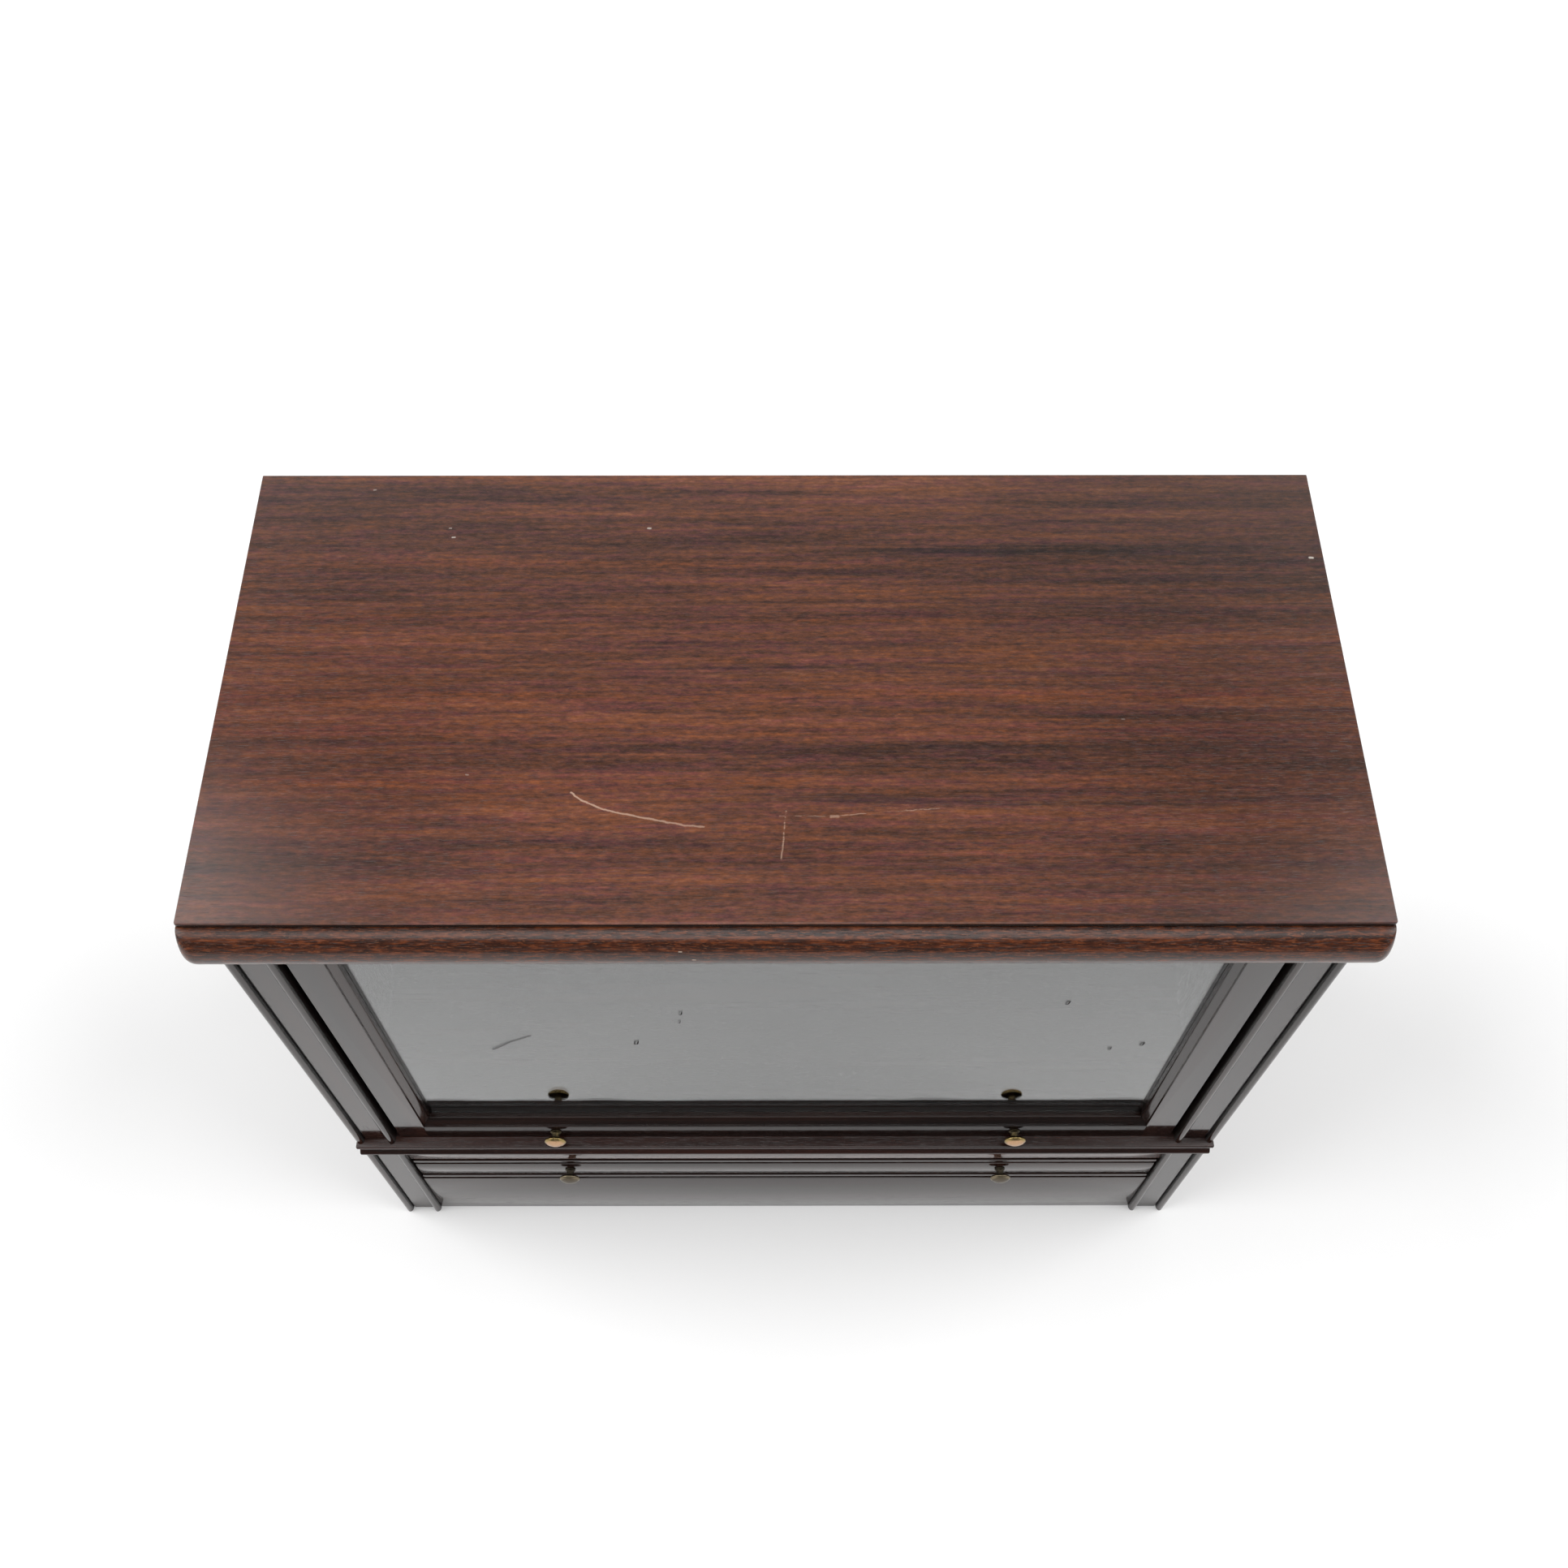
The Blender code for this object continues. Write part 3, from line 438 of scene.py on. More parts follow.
def brass_material(name, face, seed, dome, shoulder, tarnish_and_shade, rough):
    """Old brass that hands keep clean only on the knob's front: the neck stays tarnished, and the back of the head is
    made just as dark, painted shade where it faces the door. The knobs stand out from the face along -Y, so the
    distance out decides."""
    mat, k, shader, place = start_material(name)
    where = k.new("ShaderNodeSeparateXYZ")
    k.link(place, where.inputs[0])
    out = k.math('SUBTRACT', (face - MID_Y) / 1000.0, where.outputs[1])
    blotch = k.noise(k.mapping(place, (190.0, 190.0, 190.0), (seed, seed, 0)), 1.0, 4.0, 0.62)
    fine = k.noise(k.mapping(place, (1100.0, 1100.0, 1100.0), (0, seed, seed)), 1.0, 3.0, 0.6)
    ragged = k.math('ADD', out, k.math('MULTIPLY', k.math('SUBTRACT', blotch, 0.5), 0.0022))
    # tarnish on the neck, and painted shade on the back of the head facing the door
    colour = k.mix(k.span(ragged, 0.0086, 0.0098), tarnish_and_shade, shoulder)
    colour = k.mix(k.span(ragged, 0.0119, 0.0132), colour, dome)
    colour = k.mix(k.span(blotch, 0.50, 0.68, 0.0, 0.45), colour, shoulder)
    colour = k.mix(k.span(fine, 0.56, 0.72, 0.0, 0.55), colour, tarnish_and_shade)
    k.link(colour, shader.inputs["Base Color"])
    shader.inputs["Metallic"].default_value = 1.0
    roughness = k.math('ADD', rough, k.math('MULTIPLY', k.math('SUBTRACT', blotch, 0.5), 0.3))
    k.link(k.math('ADD', roughness, k.span(ragged, 0.0086, 0.0100, 0.18, 0.0)), shader.inputs["Roughness"])
    k.link(k.bump(k.math('ADD', blotch, k.math('MULTIPLY', fine, 0.3)), 0.00010), shader.inputs["Normal"])
    return mat


def steel_material(name, base, rough):
    mat, k, shader, place = start_material(name)
    blotch = k.noise(k.mapping(place, (120.0, 120.0, 120.0)), 1.0, 4.0, 0.6)
    lines = k.noise(k.mapping(place, (40.0, 900.0, 900.0)), 1.0, 2.0, 0.5)
    colour = k.mix(k.span(blotch, 0.35, 0.7), base, tuple(c * 0.55 for c in base))
    k.link(colour, shader.inputs["Base Color"])
    shader.inputs["Metallic"].default_value = 1.0
    k.link(k.math('ADD', rough, k.math('MULTIPLY', blotch, 0.15)), shader.inputs["Roughness"])
    k.link(k.bump(lines, 0.00002), shader.inputs["Normal"])
    return mat


def glass_material():
    mat, k, shader, place = start_material("old_pane")
    shader.inputs["Base Color"].default_value = (0.88, 0.90, 0.895, 1.0)
    shader.inputs["Transmission Weight"].default_value = 1.0
    shader.inputs["IOR"].default_value = 1.5
    where = k.new("ShaderNodeSeparateXYZ")
    k.link(place, where.inputs[0])
    cloud = k.noise(k.mapping(place, (11.0, 11.0, 11.0), (2, 0, 4)), 1.0, 4.0, 0.62)
    wipes = k.noise(k.mapping(place, (5.0, 1.0, 60.0), (6, 0, 1)), 1.0, 3.0, 0.6)
    specks = k.noise(k.mapping(place, (420.0, 420.0, 420.0)), 1.0, 2.0, 0.5)
    rough = k.math('ADD', k.span(cloud, 0.4, 0.75, 0.0, 0.02), k.span(wipes, 0.5, 0.8, 0.0, 0.015))
    rough = k.math('ADD', rough, k.span(specks, 0.72, 0.8, 0.0, 0.25))
    # a scratch and a few small marks: shallow grooves, seen because they turn the reflection away
    flat = k.new("ShaderNodeCombineXYZ")
    k.link(where.outputs[0], flat.inputs[0])
    k.link(where.outputs[2], flat.inputs[2])
    marks = k.near_path(flat.outputs[0], [(-0.262, 0, 0.469), (-0.246, 0, 0.486), (-0.225, 0, 0.502)], 0.0013)
    for mx, mz, r, share in ((-0.133, 0.485, 0.0020, 0.7), (-0.090, 0.555, 0.0016, 0.5), (-0.092, 0.535, 0.0012, 0.4),
                             (0.237, 0.578, 0.0018, 0.5), (0.318, 0.480, 0.0018, 0.6), (0.291, 0.469, 0.0015, 0.5)):
        one = k.near_path(flat.outputs[0], [(mx, 0, mz - r * 1.5), (mx + r * 0.4, 0, mz + r * 1.5)], r)
        marks = k.math('MAXIMUM', marks, k.math('MULTIPLY', one, share))
    k.link(k.math('ADD', rough, k.math('MULTIPLY', marks, 0.2)), shader.inputs["Roughness"])
    ripple = k.noise(k.mapping(place, (7.0, 7.0, 16.0), (0, 0, 3)), 1.0, 2.0, 0.4)
    waves = k.bump(ripple, 0.00025)
    k.link(k.bump(marks, 0.0016, normal=waves), shader.inputs["Normal"])
    return mat


# =============================================================================== shape helpers
def finish_mesh(name, bm, mat, body, replaced, smooth=35.0, bevel=None, segments=3):
    bmesh.ops.remove_doubles(bm, verts=bm.verts, dist=1e-7)
    bmesh.ops.recalc_face_normals(bm, faces=bm.faces)
    mesh = bpy.data.meshes.new(name)
    bm.to_mesh(mesh)
    bm.free()
    obj = bpy.data.objects.new(name, mesh)
    bpy.context.scene.collection.objects.link(obj)
    mesh.materials.append(mat)
    if bevel:
        mod = obj.modifiers.new("rounded_arrises", 'BEVEL')
        mod.width = bevel / 1000.0
        mod.segments = segments
        mod.limit_method = 'ANGLE'
        mod.angle_limit = math.radians(40.0)
        mod.harden_normals = False
        bpy.context.view_layer.update()
        graph = bpy.context.evaluated_depsgraph_get()
        baked = bpy.data.meshes.new_from_object(obj.evaluated_get(graph))
        obj.modifiers.clear()
        obj.data = baked
        mesh = baked
    if smooth:
        mesh.shade_smooth()
        mesh.set_sharp_from_angle(angle=math.radians(smooth))
    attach(obj, body)
    if replaced:
        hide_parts(*replaced)
    return obj


def prism(points, a, b, place, cuts=0):
    """A closed outline drawn out from a to b, with evenly spaced extra loops between."""
    bm = bmesh.new()
    loops = []
    for step in range(cuts + 2):
        t = a + (b - a) * step / (cuts + 1)
        loops.append([bm.verts.new(place(p, q, t)) for p, q in points])
    bm.faces.new(loops[0])
    bm.faces.new(list(reversed(loops[-1])))
    n = len(points)
    for one, two in zip(loops, loops[1:]):
        for i in range(n):
            j = (i + 1) % n
            bm.faces.new((one[j], one[i], two[i], two[j]))
    return bm


def box_bmesh(x, y, z):
    bm = bmesh.new()
    bmesh.ops.create_cube(bm, size=1.0)
    x = sorted(x)
    low, high = put(x[0], y[0], z[0]), put(x[1], y[1], z[1])
    for v in bm.verts:
        v.co = Vector([low[i] + (v.co[i] + 0.5) * (high[i] - low[i]) for i in range(3)])
    return bm


def turned(outline, steps, place):
    bm = bmesh.new()
    rings = []
    for along, radius in outline:
        if radius < 1e-6:
            rings.append([bm.verts.new(place(along, 0.0, 0.0))])
        else:
            rings.append([bm.verts.new(place(along, radius * math.cos(2 * math.pi * i / steps),
                                             radius * math.sin(2 * math.pi * i / steps))) for i in range(steps)])
    for ring, nxt in zip(rings, rings[1:]):
        for i in range(steps):
            m = (i + 1) % steps
            if len(ring) == 1:
                bm.faces.new((ring[0], nxt[i], nxt[m]))
            elif len(nxt) == 1:
                bm.faces.new((ring[i], ring[m], nxt[0]))
            else:
                bm.faces.new((ring[i], ring[m], nxt[m], nxt[i]))
    for ring in (rings[0], rings[-1]):
        if len(ring) > 1:
            bm.faces.new(ring)
    return bm


def rounded_plan(half, front, back, radius, steps=8, back_radius=0.0):
    pts = []
    if back_radius:
        for sign in (-1, 1):
            for i in range(5):
                a = math.pi / 2 * (i / 4 if sign < 0 else 1 - i / 4)
                pts.append((sign * (half - back_radius + back_radius * math.cos(a)),
                            back - back_radius + back_radius * math.sin(a)))
        pts = pts[:5] + pts[5:]
    else:
        pts = [(-half, back), (half, back)]
    for sign, order in ((1, range(steps + 1)), (-1, range(steps, -1, -1))):
        for i in order:
            a = math.pi / 2.0 * i / steps
            pts.append((sign * (half - radius + radius * math.cos(a)), front + radius - radius * math.sin(a)))
    return pts


# =============================================================================== materials
M_TOP = top_material()
M_NOSE = nosing_material()
M_FRONT_X = varnished("front_mahogany_level", "X", 2.0, FRONT, rough=0.09, swing=0.05, coat=0.06)
# painted shade: the door's rails use the darker palette
M_DOOR_RAIL = varnished("door_rail_mahogany", "X", 2.6, DOOR_RAIL, rough=0.10, swing=0.05, ior=1.32)
M_RAIL = varnished("rail_mahogany", "X", 3.0, RAIL, rough=0.10, swing=0.05)
M_FRONT_Z = varnished("front_mahogany_upright", "Z", 5.0, FRONT, rough=0.10, swing=0.05)
# dark bands: painted shade on the posts in the gap beside the inner bead and in the quirk; the stiles are darker beside
# the glass
M_POST = upright_material("post_mahogany", 5.0, ((380.0, 392.5, 0.4, 0.8), (422.1, 424.0, 0.3, 0.95)), 0.08, 0.04)
M_STILE = upright_material("stile_mahogany", 6.0, ((300.0, 352.4, 0.3, 0.97), (300.0, 358.0, 0.3, 0.12)), 0.07)
M_LEDGE = varnished("ledge_mahogany", "X", 8.0, LEDGE, rough=0.17, swing=0.08)
M_SIDE = varnished("side_mahogany", "Z", 13.0, SIDES, rough=0.24, swing=0.10, height=0.00003, stripe=30.0)
M_CORE = varnished("core_mahogany", "X", 17.0, SIDES, rough=0.35, swing=0.10, height=0.00003)
M_INSIDE_Y = bare_wood("inside_wood_deep", "Y", 3.0, (0.10, 0.055, 0.035), (0.20, 0.12, 0.075), (0.28, 0.17, 0.10))
M_INSIDE_X = bare_wood("inside_wood_wide", "X", 6.0, (0.10, 0.055, 0.035), (0.20, 0.12, 0.075), (0.28, 0.17, 0.10))
M_INSIDE_Z = bare_wood("inside_wood_tall", "Z", 9.0, (0.09, 0.05, 0.03), (0.18, 0.11, 0.065), (0.25, 0.15, 0.09))
M_BACK = bare_wood("back_boards", "Z", 12.0, (0.14, 0.085, 0.05), (0.27, 0.175, 0.105), (0.36, 0.25, 0.155), 0.7)
M_BRASS = brass_material("door_brass", 1.4, 1.0, (0.47, 0.29, 0.17), (0.30, 0.22, 0.09), (0.060, 0.048, 0.028), 0.26)
M_BRASS_DULL = brass_material("drawer_brass", 0.56, 2.0, (0.095, 0.078, 0.058), (0.20, 0.165, 0.11),
                              (0.045, 0.038, 0.028), 0.34)
M_STEEL = steel_material("plain_steel", (0.52, 0.51, 0.50), 0.28)
M_GLASS = glass_material()


def dress(node, mat):
    mesh = NODES[node].data
    if not mesh.materials:
        mesh.materials.append(mat)
    for i in range(len(NODES[node].material_slots)):
        NODES[node].material_slots[i].material = mat


# =============================================================================== top
HEIGHT, TOP_HALF, TOP_DEPTH, TOP_EDGE = 769.0, 450.0, 424.6, 5.1
NOSING_R, NOSING_Z, NOSING_BACK, NOSING_HALF, NOSING_END_R = 19.15, 744.45, 16.0, 450.0, 12.0

top_bm = prism(rounded_plan(TOP_HALF, 0.0, TOP_DEPTH, 2.4, 5), HEIGHT - TOP_EDGE, HEIGHT, lambda p, q, t: put(p, q, t))
finish_mesh("striped_top", top_bm, M_TOP, "carcass", ["top_panel"], smooth=32, bevel=1.0, segments=3)


def nosing_mesh():
    """Half-round bar with rounded ends: towards each end the half-round draws back along a quarter circle."""
    ring_steps, corner = 48, 14
    bm = bmesh.new()
    stations = []
    for i in range(corner + 1):
        a = math.pi / 2 * i / corner
        stations.append((NOSING_HALF - NOSING_END_R * (1 - math.sin(a)),
                         1.0 - NOSING_END_R * (1 - math.cos(a)) / NOSING_R))
    xs = [(-x, e) for x, e in reversed(stations)]
    inner = NOSING_HALF - NOSING_END_R
    xs += [(-inner + 2 * inner * i / 24, 1.0) for i in range(1, 24)]
    xs += stations
    loops = []
    for x, bulge in xs:
        loop = []
        for i in range(ring_steps + 1):
            a = math.pi * i / ring_steps
            loop.append(bm.verts.new(put(x, -NOSING_R * bulge * math.sin(a), NOSING_Z + NOSING_R * math.cos(a))))
        loop.append(bm.verts.new(put(x, NOSING_BACK, NOSING_Z - NOSING_R)))
        loop.append(bm.verts.new(put(x, NOSING_BACK, NOSING_Z + NOSING_R)))
        loops.append(loop)
    n = len(loops[0])
    for one, two in zip(loops, loops[1:]):
        for i in range(n):
            j = (i + 1) % n
            bm.faces.new((one[i], one[j], two[j], two[i]))
    bm.faces.new(loops[0])
    bm.faces.new(list(reversed(loops[-1])))
    return bm


finish_mesh("half_round_nosing", nosing_mesh(), M_NOSE, "carcass", ["top_nosing"], smooth=28)

under = (NOSING_Z - NOSING_R, NOSING_Z + NOSING_R)
for tag, s in (("left", -1), ("right", 1)):
    finish_mesh("edge_lipping_" + tag, box_bmesh((s * 431.3, s * 449.3), (16.3, 423.9), under), M_CORE, "carcass",
                ["top_lipping_" + tag], smooth=32, bevel=0.9)
dress("top_core", M_CORE)

# =============================================================================== posts, sides and backs
BODY_HALF, BODY_TOP, BODY_BACK, SIDE_T = 431.3, 725.0, 417.0, 18.0
POST_IN, POST_FLAT_Y, POST_BACK_Y, BEAD_OUT = 392.0, -0.7, 31.5, 5.2
OUTER_BEAD, INNER_BEAD, QUIRK_W = (423.4, 431.3), (392.0, 399.9), 1.1
LEDGE_TOP, LEDGE_BOTTOM, LEDGE_FRONT, LEDGE_END_R = 254.0, 231.5, -10.1, 1.4
BLOCK_X, BLOCK_Y, BLOCK_Z = (390.0, 401.7), (4.6, 50.0), (703.5, 722.0)
FACE_Y, DOOR_Y, DOOR_T, DOOR_HALF, DOOR_BOTTOM, DOOR_TOP = 0.56, 1.4, 20.0, 386.9, 256.0, 718.3


def post_outline(steps=24):
    def half_round(low, high):
        mid, half = (low + high) / 2.0, (high - low) / 2.0
        return [(mid + half * math.cos(math.pi * i / steps), POST_FLAT_Y - BEAD_OUT * math.sin(math.pi * i / steps))
                for i in range(steps + 1)]
    groove = [(OUTER_BEAD[0], POST_FLAT_Y + 1.4), (OUTER_BEAD[0] - QUIRK_W, POST_FLAT_Y + 1.4),
              (OUTER_BEAD[0] - QUIRK_W, POST_FLAT_Y + 0.25), (OUTER_BEAD[0] - QUIRK_W - 0.25, POST_FLAT_Y)]
    return ([(BODY_HALF, POST_BACK_Y)] + half_round(*OUTER_BEAD) + groove + half_round(*INNER_BEAD)
            + [(POST_IN, POST_BACK_Y)])


def cut_with(obj, cutter_bm):
    bmesh.ops.recalc_face_normals(cutter_bm, faces=cutter_bm.faces)
    mesh = bpy.data.meshes.new("slot_cutter")
    cutter_bm.to_mesh(mesh)
    cutter_bm.free()
    cutter = bpy.data.objects.new("slot_cutter", mesh)
    bpy.context.scene.collection.objects.link(cutter)
    mod = obj.modifiers.new("slot", 'BOOLEAN')
    mod.operation = 'DIFFERENCE'
    mod.solver = 'EXACT'
    mod.object = cutter
    bpy.context.view_layer.update()
    graph = bpy.context.evaluated_depsgraph_get()
    baked = bpy.data.meshes.new_from_object(obj.evaluated_get(graph))
    obj.modifiers.clear()
    obj.data = baked
    bpy.data.objects.remove(cutter, do_unlink=True)


for tag, s in (("left", -1), ("right", 1)):
    upper = finish_mesh("beaded_post_upper_" + tag, prism(post_outline(), 254.3, BODY_TOP,
                        lambda p, q, t, s=s: put(s * p, q, t)), M_POST, "carcass",
                        ["upper_post_" + tag], smooth=28)
    cut_with(upper, box_bmesh((s * (POST_IN - 4.0), s * (BLOCK_X[1] + 0.6)), (BLOCK_Y[0] - 0.4, POST_BACK_Y + 5.0),
                              (BLOCK_Z[0] - 0.35, BODY_TOP + 3.0)))
    upper.data.shade_smooth()
    upper.data.set_sharp_from_angle(angle=math.radians(28))
    finish_mesh("beaded_post_lower_" + tag, prism(post_outline(), 0.0, 231.2,
                lambda p, q, t, s=s: put(s * p, q, t)), M_POST, "carcass",
                ["lower_post_" + tag], smooth=28)
    finish_mesh("side_board_upper_" + tag, box_bmesh((s * (BODY_HALF - SIDE_T), s * BODY_HALF), (31.8, BODY_BACK),
                (254.3, BODY_TOP)), M_SIDE, "carcass", ["upper_side_" + tag], 32, 0.6, 2)
    finish_mesh("side_board_lower_" + tag, box_bmesh((s * (BODY_HALF - SIDE_T), s * BODY_HALF), (31.8, BODY_BACK),
                (0.0, 231.2)), M_SIDE, "carcass", ["lower_side_" + tag], 32, 0.6, 2)
    for node in ("door_runner_", "drawer_runner_", "drawer_kicker_"):
        dress(node + tag, M_INSIDE_Y)
    dress("corner_block_" + tag, M_INSIDE_Z)
for tag in ("left", "centre", "right"):
    dress("upper_back_" + tag, M_BACK)
dress("lower_back", M_BACK)

# round-headed screws along the back boards
heads = bmesh.new()
spots = [(x0 + dx, z) for x0 in (-275.0, 0.0, 275.0) for dx in (-110.0, 110.0) for z in (268.0, 489.0, 712.0)]
spots += [(x, z) for x in (-395.0, -132.0, 132.0, 395.0) for z in (34.0, 218.0)]
for i, (x, z) in enumerate(spots):
    part = turned([(414.05, 3.5), (414.7, 3.4), (415.3, 2.8), (415.75, 1.7), (415.9, 0.0)], 20,
                  lambda along, u, v, x=x, z=z: put(x + u, along, z + v))
    mesh = bpy.data.meshes.new("head")
    part.to_mesh(mesh)
    part.free()
    heads.from_mesh(mesh)
    bpy.data.meshes.remove(mesh)
finish_mesh("back_board_screws", heads, M_STEEL, "carcass", [], smooth=40)

# =============================================================================== ledge, rail and plinth
# front edge, top to bottom: a small rounded nose, a hollow, and a thin rounded fillet
LEDGE_EDGE = (curve_through([(-8.6, 254.0), (-9.4, 253.7), (-10.0, 252.9), (-10.1, 251.7), (-9.7, 250.3),
                             (-8.3, 249.2)], 4)[:-1]
              + curve_through([(-8.3, 249.2), (-6.6, 248.3), (-5.2, 246.4), (-4.7, 243.4), (-4.7, 240.4),
                               (-5.4, 237.9), (-6.9, 236.1), (-8.6, 234.9), (-9.7, 234.2)], 4)[:-1]
              + curve_through([(-9.7, 234.2), (-10.1, 233.3), (-10.1, 232.2), (-9.5, 231.5)], 3))


def ledge_mesh():
    """The edge's outline at stations across the front; at the rounded ends each point stops on the corner."""
    bm = bmesh.new()
    corner = 10
    inner = BODY_HALF - LEDGE_END_R
    ends = [(inner + LEDGE_END_R * math.sin(math.pi / 2 * i / corner),
             LEDGE_FRONT + LEDGE_END_R * (1 - math.cos(math.pi / 2 * i / corner))) for i in range(corner + 1)]
    stations = [(-x, y) for x, y in reversed(ends)]
    stations += [(-inner + 2 * inner * i / 24, LEDGE_FRONT - 1.0) for i in range(1, 24)]
    stations += ends
    loops = []
    for x, stop in stations:
        loop = [bm.verts.new(put(x, max(y, stop), z)) for y, z in LEDGE_EDGE]
        loop += [bm.verts.new(put(x, BODY_BACK, LEDGE_BOTTOM)), bm.verts.new(put(x, BODY_BACK, LEDGE_TOP))]
        loops.append(loop)
    n = len(loops[0])
    for one, two in zip(loops, loops[1:]):
        for i in range(n):
            j = (i + 1) % n
            bm.faces.new((one[i], one[j], two[j], two[i]))
    bm.faces.new(loops[0])
    bm.faces.new(list(reversed(loops[-1])))
    return bm


finish_mesh("ledge_board", ledge_mesh(), M_LEDGE, "carcass", ["base_top_board"], 40)
finish_mesh("rail_under_ledge", box_bmesh((-POST_IN + 0.3, POST_IN - 0.3), (FACE_Y, 24.0), (181.8, 231.2)), M_RAIL,
            "carcass", ["frieze_rail"], 32, 0.9, 3)
finish_mesh("plinth_board", box_bmesh((-POST_IN + 0.3, POST_IN - 0.3), (-0.2, 20.4), (0.5, 113.3)), M_FRONT_X,
            "carcass", ["plinth_front"], 32, 0.9, 3)

# =============================================================================== carriage
for tag in ("left", "right"):
    dress("slide_block_" + tag, M_STEEL)
PIVOT_Y, PIVOT_Z, PIN_R, ROD_R, ROD_Y = 12.0, 711.3, 2.5, 4.0, 34.5


def rod_outline(r, a, b, ease=0.4):
    return [(a, 0.0), (a, r - ease), (a + ease, r), (b - ease, r), (b, r - ease), (b, 0.0)]


for tag, s in (("left", -1), ("right", 1)):
    a, b = sorted((s * (DOOR_HALF - 8.0), s * 399.0))
    finish_mesh("round_pin_" + tag, turned(rod_outline(PIN_R, a, b), 32,
                lambda along, u, v: put(along, PIVOT_Y + u, PIVOT_Z + v)), M_STEEL, "carriage",
                ["pivot_pin_" + tag], 35)
finish_mesh("round_tie_rod", turned(rod_outline(ROD_R, -389.7, 389.7), 40,
            lambda along, u, v: put(along, ROD_Y + u, PIVOT_Z + 1.5 + v)), M_STEEL, "carriage",
            ["tie_rod"], 35)

# =============================================================================== door
STILE_FLAT, RAIL_FLAT_LOW, RAIL_FLAT_TOP, REBATE = 28.4, 30.2, 25.0, 0.6
# a square quirk, a slanting face that ends in a rounded ridge, and a deep square side down to the glass
STICKING = (curve_through([(0.0, 0.0), (0.25, 0.15), (0.42, 0.6), (0.5, 2.6)], 3)[:-1]
            + curve_through([(0.5, 2.6), (2.2, 4.2), (3.9, 5.8), (5.3, 7.3), (5.75, 8.2), (5.88, 9.0), (5.9, 10.0)], 4)
            + [(5.9, 11.6), (5.9, 13.2)])


def frame_member(flat, ends_flat, ends_split, place):
    inner = [(flat + w, d) for w, d in STICKING]
    inner += [(flat + REBATE, STICKING[-1][1]), (flat + REBATE, DOOR_T), (flat, DOOR_T)]
    bm = bmesh.new()
    caps = []
    for end in range(2):
        sign = 1.0 if end == 0 else -1.0
        base, split = ends_flat[end], ends_split[end]
        ring = [bm.verts.new(place(w, d, split + sign * (w - flat))) for w, d in inner]
        same = abs(base - split) < 1e-6
        cf = ring[0] if same else bm.verts.new(place(flat, 0.0, base))
        cb = ring[-1] if same else bm.verts.new(place(flat, DOOR_T, base))
        of = bm.verts.new(place(0.0, 0.0, base))
        ob = bm.verts.new(place(0.0, DOOR_T, base))
        bm.faces.new(ring)
        bm.faces.new((of, cf, cb, ob))
        if not same:
            bm.faces.new((cf, ring[0], ring[-1], cb))
        caps.append((ring, cf, cb, of, ob, same))
    (ra, cfa, cba, ofa, oba, sa), (rb, cfb, cbb, ofb, obb, sb) = caps
    for i in range(len(ra) - 1):
        bm.faces.new((ra[i], ra[i + 1], rb[i + 1], rb[i]))
    if sa:
        bm.faces.new((ofa, ra[0], rb[0], ofb))
        bm.faces.new((oba, obb, rb[-1], ra[-1]))
    else:
        bm.faces.new((ofa, cfa, ra[0], rb[0], cfb, ofb))
        bm.faces.new((oba, obb, cbb, rb[-1], ra[-1], cba))
    bm.faces.new((ofa, ofb, obb, oba))
    return bm


low_split, top_split = DOOR_BOTTOM + RAIL_FLAT_LOW, DOOR_TOP - RAIL_FLAT_TOP
for tag, s in (("left", -1), ("right", 1)):
    finish_mesh("moulded_stile_" + tag, frame_member(STILE_FLAT, (DOOR_BOTTOM, DOOR_TOP), (low_split, top_split),
                lambda w, y, t, s=s: put(s * (DOOR_HALF - w), DOOR_Y + y, t)), M_STILE, "door",
                ["door_stile_" + tag], 26)
rail_end = DOOR_HALF - STILE_FLAT - 0.3
finish_mesh("moulded_rail_bottom", frame_member(RAIL_FLAT_LOW, (-rail_end, rail_end), (-rail_end, rail_end),
            lambda w, y, t: put(t, DOOR_Y + y, DOOR_BOTTOM + w)), M_DOOR_RAIL, "door",
            ["door_rail_bottom"], 26)
finish_mesh("moulded_rail_top", frame_member(RAIL_FLAT_TOP, (-rail_end, rail_end), (-rail_end, rail_end),
            lambda w, y, t: put(t, DOOR_Y + y, DOOR_TOP - w)), M_DOOR_RAIL, "door",
            ["door_rail_top"], 26)
dress("door_glass", M_GLASS)
for tag, mat in (("bottom", M_FRONT_X), ("top", M_FRONT_X), ("left", M_FRONT_Z), ("right", M_FRONT_Z)):
    dress("glazing_bead_" + tag, mat)

KNOB_X, DOOR_KNOB_Z, DRAWER_KNOB_Z = 228.7, 272.7, 145.0
KNOB = ([(0.3, 0.0), (0.3, 5.1), (0.5, 5.5), (1.3, 5.5), (1.6, 5.2)]
        + curve_through([(1.7, 4.9), (2.4, 4.3), (3.4, 3.9), (5.4, 3.8), (7.0, 3.95), (7.7, 4.9), (8.1, 7.2),
                         (8.4, 9.2)], 4)
        + curve_through([(8.8, 10.1), (9.6, 10.6), (10.4, 10.75), (11.1, 10.55), (11.7, 10.1)], 4)
        + curve_through([(11.9, 9.8), (13.2, 8.2), (14.4, 5.6), (15.15, 2.8), (15.45, 0.0)], 5))


def knob_piece(name, x, face, z, mat, body, node):
    finish_mesh(name, turned(KNOB, 64, lambda along, u, v: put(x + u, face - along, z + v)), mat, body,
                [node], 38)


def screw_piece(name, x, face, z, back_y, body, node):
    outline = [(back_y + 3.0, 0.0), (back_y + 2.85, 1.4), (back_y + 2.4, 2.9), (back_y + 1.6, 4.1),
               (back_y + 0.5, 4.6), (back_y + 0.3, 4.6), (back_y + 0.3, 2.0), (face - 8.6, 2.0),
               (face - 8.8, 0.0)]
    finish_mesh(name, turned(outline, 32, lambda along, u, v: put(x + u, along, z + v)), M_STEEL, body,
                [node], 38)


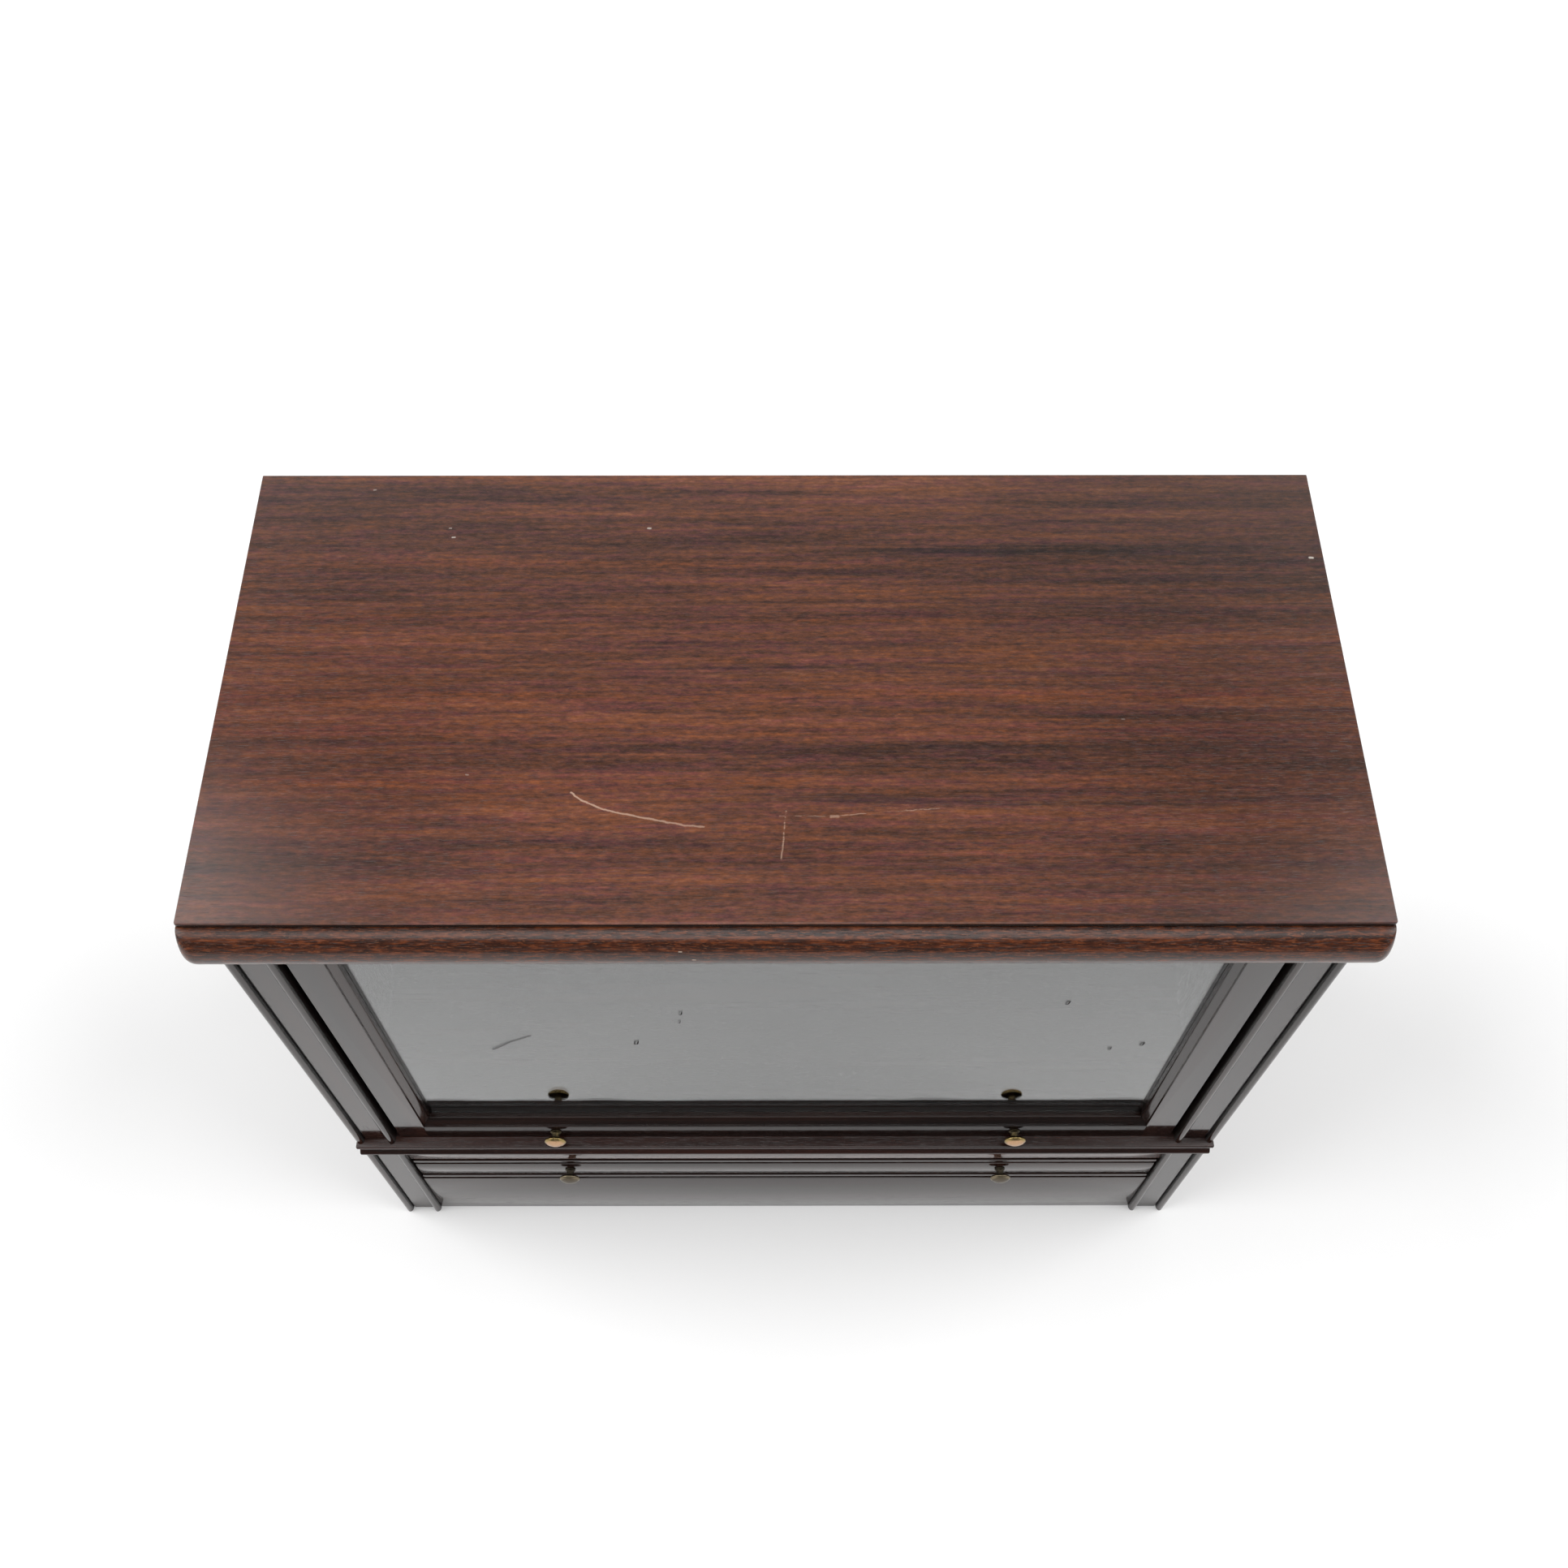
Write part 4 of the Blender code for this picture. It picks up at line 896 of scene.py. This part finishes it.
for tag, s in (("left", -1), ("right", 1)):
    knob_piece("turned_door_knob_" + tag, s * KNOB_X, DOOR_Y, DOOR_KNOB_Z, M_BRASS, "door", "door_knob_" + tag)
    knob_piece("turned_drawer_knob_" + tag, s * KNOB_X, FACE_Y, DRAWER_KNOB_Z, M_BRASS_DULL, "drawer",
               "drawer_knob_" + tag)
    screw_piece("round_door_screw_" + tag, s * KNOB_X, DOOR_Y, DOOR_KNOB_Z, DOOR_Y + DOOR_T, "door",
                "door_knob_screw_" + tag)
    screw_piece("round_drawer_screw_" + tag, s * KNOB_X, FACE_Y, DRAWER_KNOB_Z, FACE_Y + DOOR_T, "drawer",
                "drawer_knob_screw_" + tag)

# =============================================================================== drawer
DRAWER_Z, DRAWER_FACE_Z, DRAWER_HALF = (114.0, 181.0), (129.9, 163.2), 390.0
z0, z1 = DRAWER_Z
f0, f1 = DRAWER_FACE_Z
back = FACE_Y + DOOR_T
ease = 0.5
outline = [(FACE_Y + ease, f0), (FACE_Y + 0.15, f0 + 0.15), (FACE_Y, f0 + ease), (FACE_Y, f1 - ease),
           (FACE_Y + 0.15, f1 - 0.15), (FACE_Y + ease, f1), (FACE_Y + 5.4, f1), (FACE_Y + 5.4, z1), (back, z1),
           (back, z0), (FACE_Y + 5.4, z0), (FACE_Y + 5.4, f0)]
finish_mesh("drawer_face", prism(outline, -DRAWER_HALF, DRAWER_HALF, lambda p, q, t: put(t, p, q)), M_FRONT_X,
            "drawer", ["drawer_front"], 28)
for tag, low, high in (("top", 169.9, 175.8), ("bottom", 117.3, 123.4)):
    steps, mid, half = 32, (low + high) / 2, (high - low) / 2
    strip = [(FACE_Y + 5.1, high), (FACE_Y + 5.1, low)]
    strip += [(FACE_Y + 0.9 - 1.3 * math.sin(math.pi * i / steps) ** 0.5,
               mid - half * math.copysign(abs(math.cos(math.pi * i / steps)) ** 0.75, math.cos(math.pi * i / steps)))
              for i in range(steps + 1)]
    finish_mesh("cock_bead_" + tag, prism(strip, -DRAWER_HALF, DRAWER_HALF, lambda p, q, t: put(t, p, q)), M_FRONT_X,
                "drawer", ["drawer_bead_" + tag], 30)
for tag in ("left", "right"):
    dress("drawer_side_" + tag, M_INSIDE_Y)
dress("drawer_back", M_INSIDE_X)
dress("drawer_bottom", M_INSIDE_X)

# =============================================================================== studio
floor_mesh = bpy.data.meshes.new("floor")
floor_mesh.from_pydata([(-9, -9, -0.0004), (9, -9, -0.0004), (9, 9, -0.0004), (-9, 9, -0.0004)], [], [(0, 1, 2, 3)])
floor = bpy.data.objects.new("floor", floor_mesh)
bpy.context.scene.collection.objects.link(floor)
floor_mat = bpy.data.materials.new("white_floor")
floor_mat.use_nodes = True
shader = floor_mat.node_tree.nodes["Principled BSDF"]
shader.inputs["Base Color"].default_value = (0.84, 0.84, 0.84, 1.0)
shader.inputs["Roughness"].default_value = 0.9
shader.inputs["Specular IOR Level"].default_value = 0.0
shader.inputs["Emission Color"].default_value = (1.0, 1.0, 1.0, 1.0)
shader.inputs["Emission Strength"].default_value = 0.08
floor_mesh.materials.append(floor_mat)

world = bpy.data.worlds.new("studio")
world.use_nodes = True
bpy.context.scene.world = world
w = Nodes(world.node_tree)
background = world.node_tree.nodes["Background"]
direction = w.new("ShaderNodeSeparateXYZ")
w.link(w.new("ShaderNodeTexCoord").outputs["Generated"], direction.inputs[0])
# bright level walls at the sides and behind, a dim ceiling, and a dim stretch high in front
level = w.span(direction.outputs[2], 0.25, 0.85, 1.0, 0.0, smooth=True)
side = w.span(direction.outputs[1], -0.7, 0.2, 0.30, 0.90, smooth=True)
strength = w.math('MAXIMUM', w.math('MULTIPLY', level, side), 0.15)
seen = w.new("ShaderNodeLightPath").outputs["Is Camera Ray"]
strength = w.mixf(seen, strength, 1.0)
w.link(strength, background.inputs["Strength"])
background.inputs["Color"].default_value = (1.0, 1.0, 1.0, 1.0)


def soft_sun(name, energy, width, towards):
    """A far, wide, soft source: towards is the direction that it shines from."""
    data = bpy.data.lights.new(name, 'SUN')
    data.energy = energy
    data.angle = math.radians(width)
    lamp = bpy.data.objects.new(name, data)
    lamp.rotation_euler = Vector(towards).to_track_quat('Z', 'Y').to_euler()
    lamp.location = (0, 0, 3)
    bpy.context.scene.collection.objects.link(lamp)


soft_sun("overhead", 0.85, 42.0, (0.0, -math.tan(math.radians(10.0)), 1.0))
soft_sun("left_fill", 2.10, 50.0, (-0.85, 0.03, 0.75))
soft_sun("right_fill", 1.72, 50.0, (0.85, 0.03, 0.75))

# =============================================================================== camera
cam_data = bpy.data.cameras.new("camera")
cam_data.sensor_fit = 'HORIZONTAL'
cam_data.sensor_width = 36.0
cam_data.lens = 36.0 * 2015.5 / 1932.0
cam_data.clip_start = 0.05
cam_data.clip_end = 60.0
cam = bpy.data.objects.new("camera", cam_data)
cam.location = put(-3.06, -502.8, 1864.0)
cam.rotation_euler = (math.radians(29.556), math.radians(-0.036), math.radians(-0.099))
bpy.context.scene.collection.objects.link(cam)
bpy.context.scene.camera = cam
bpy.context.scene.view_settings.view_transform = 'Standard'
bpy.context.scene.view_settings.look = 'None'
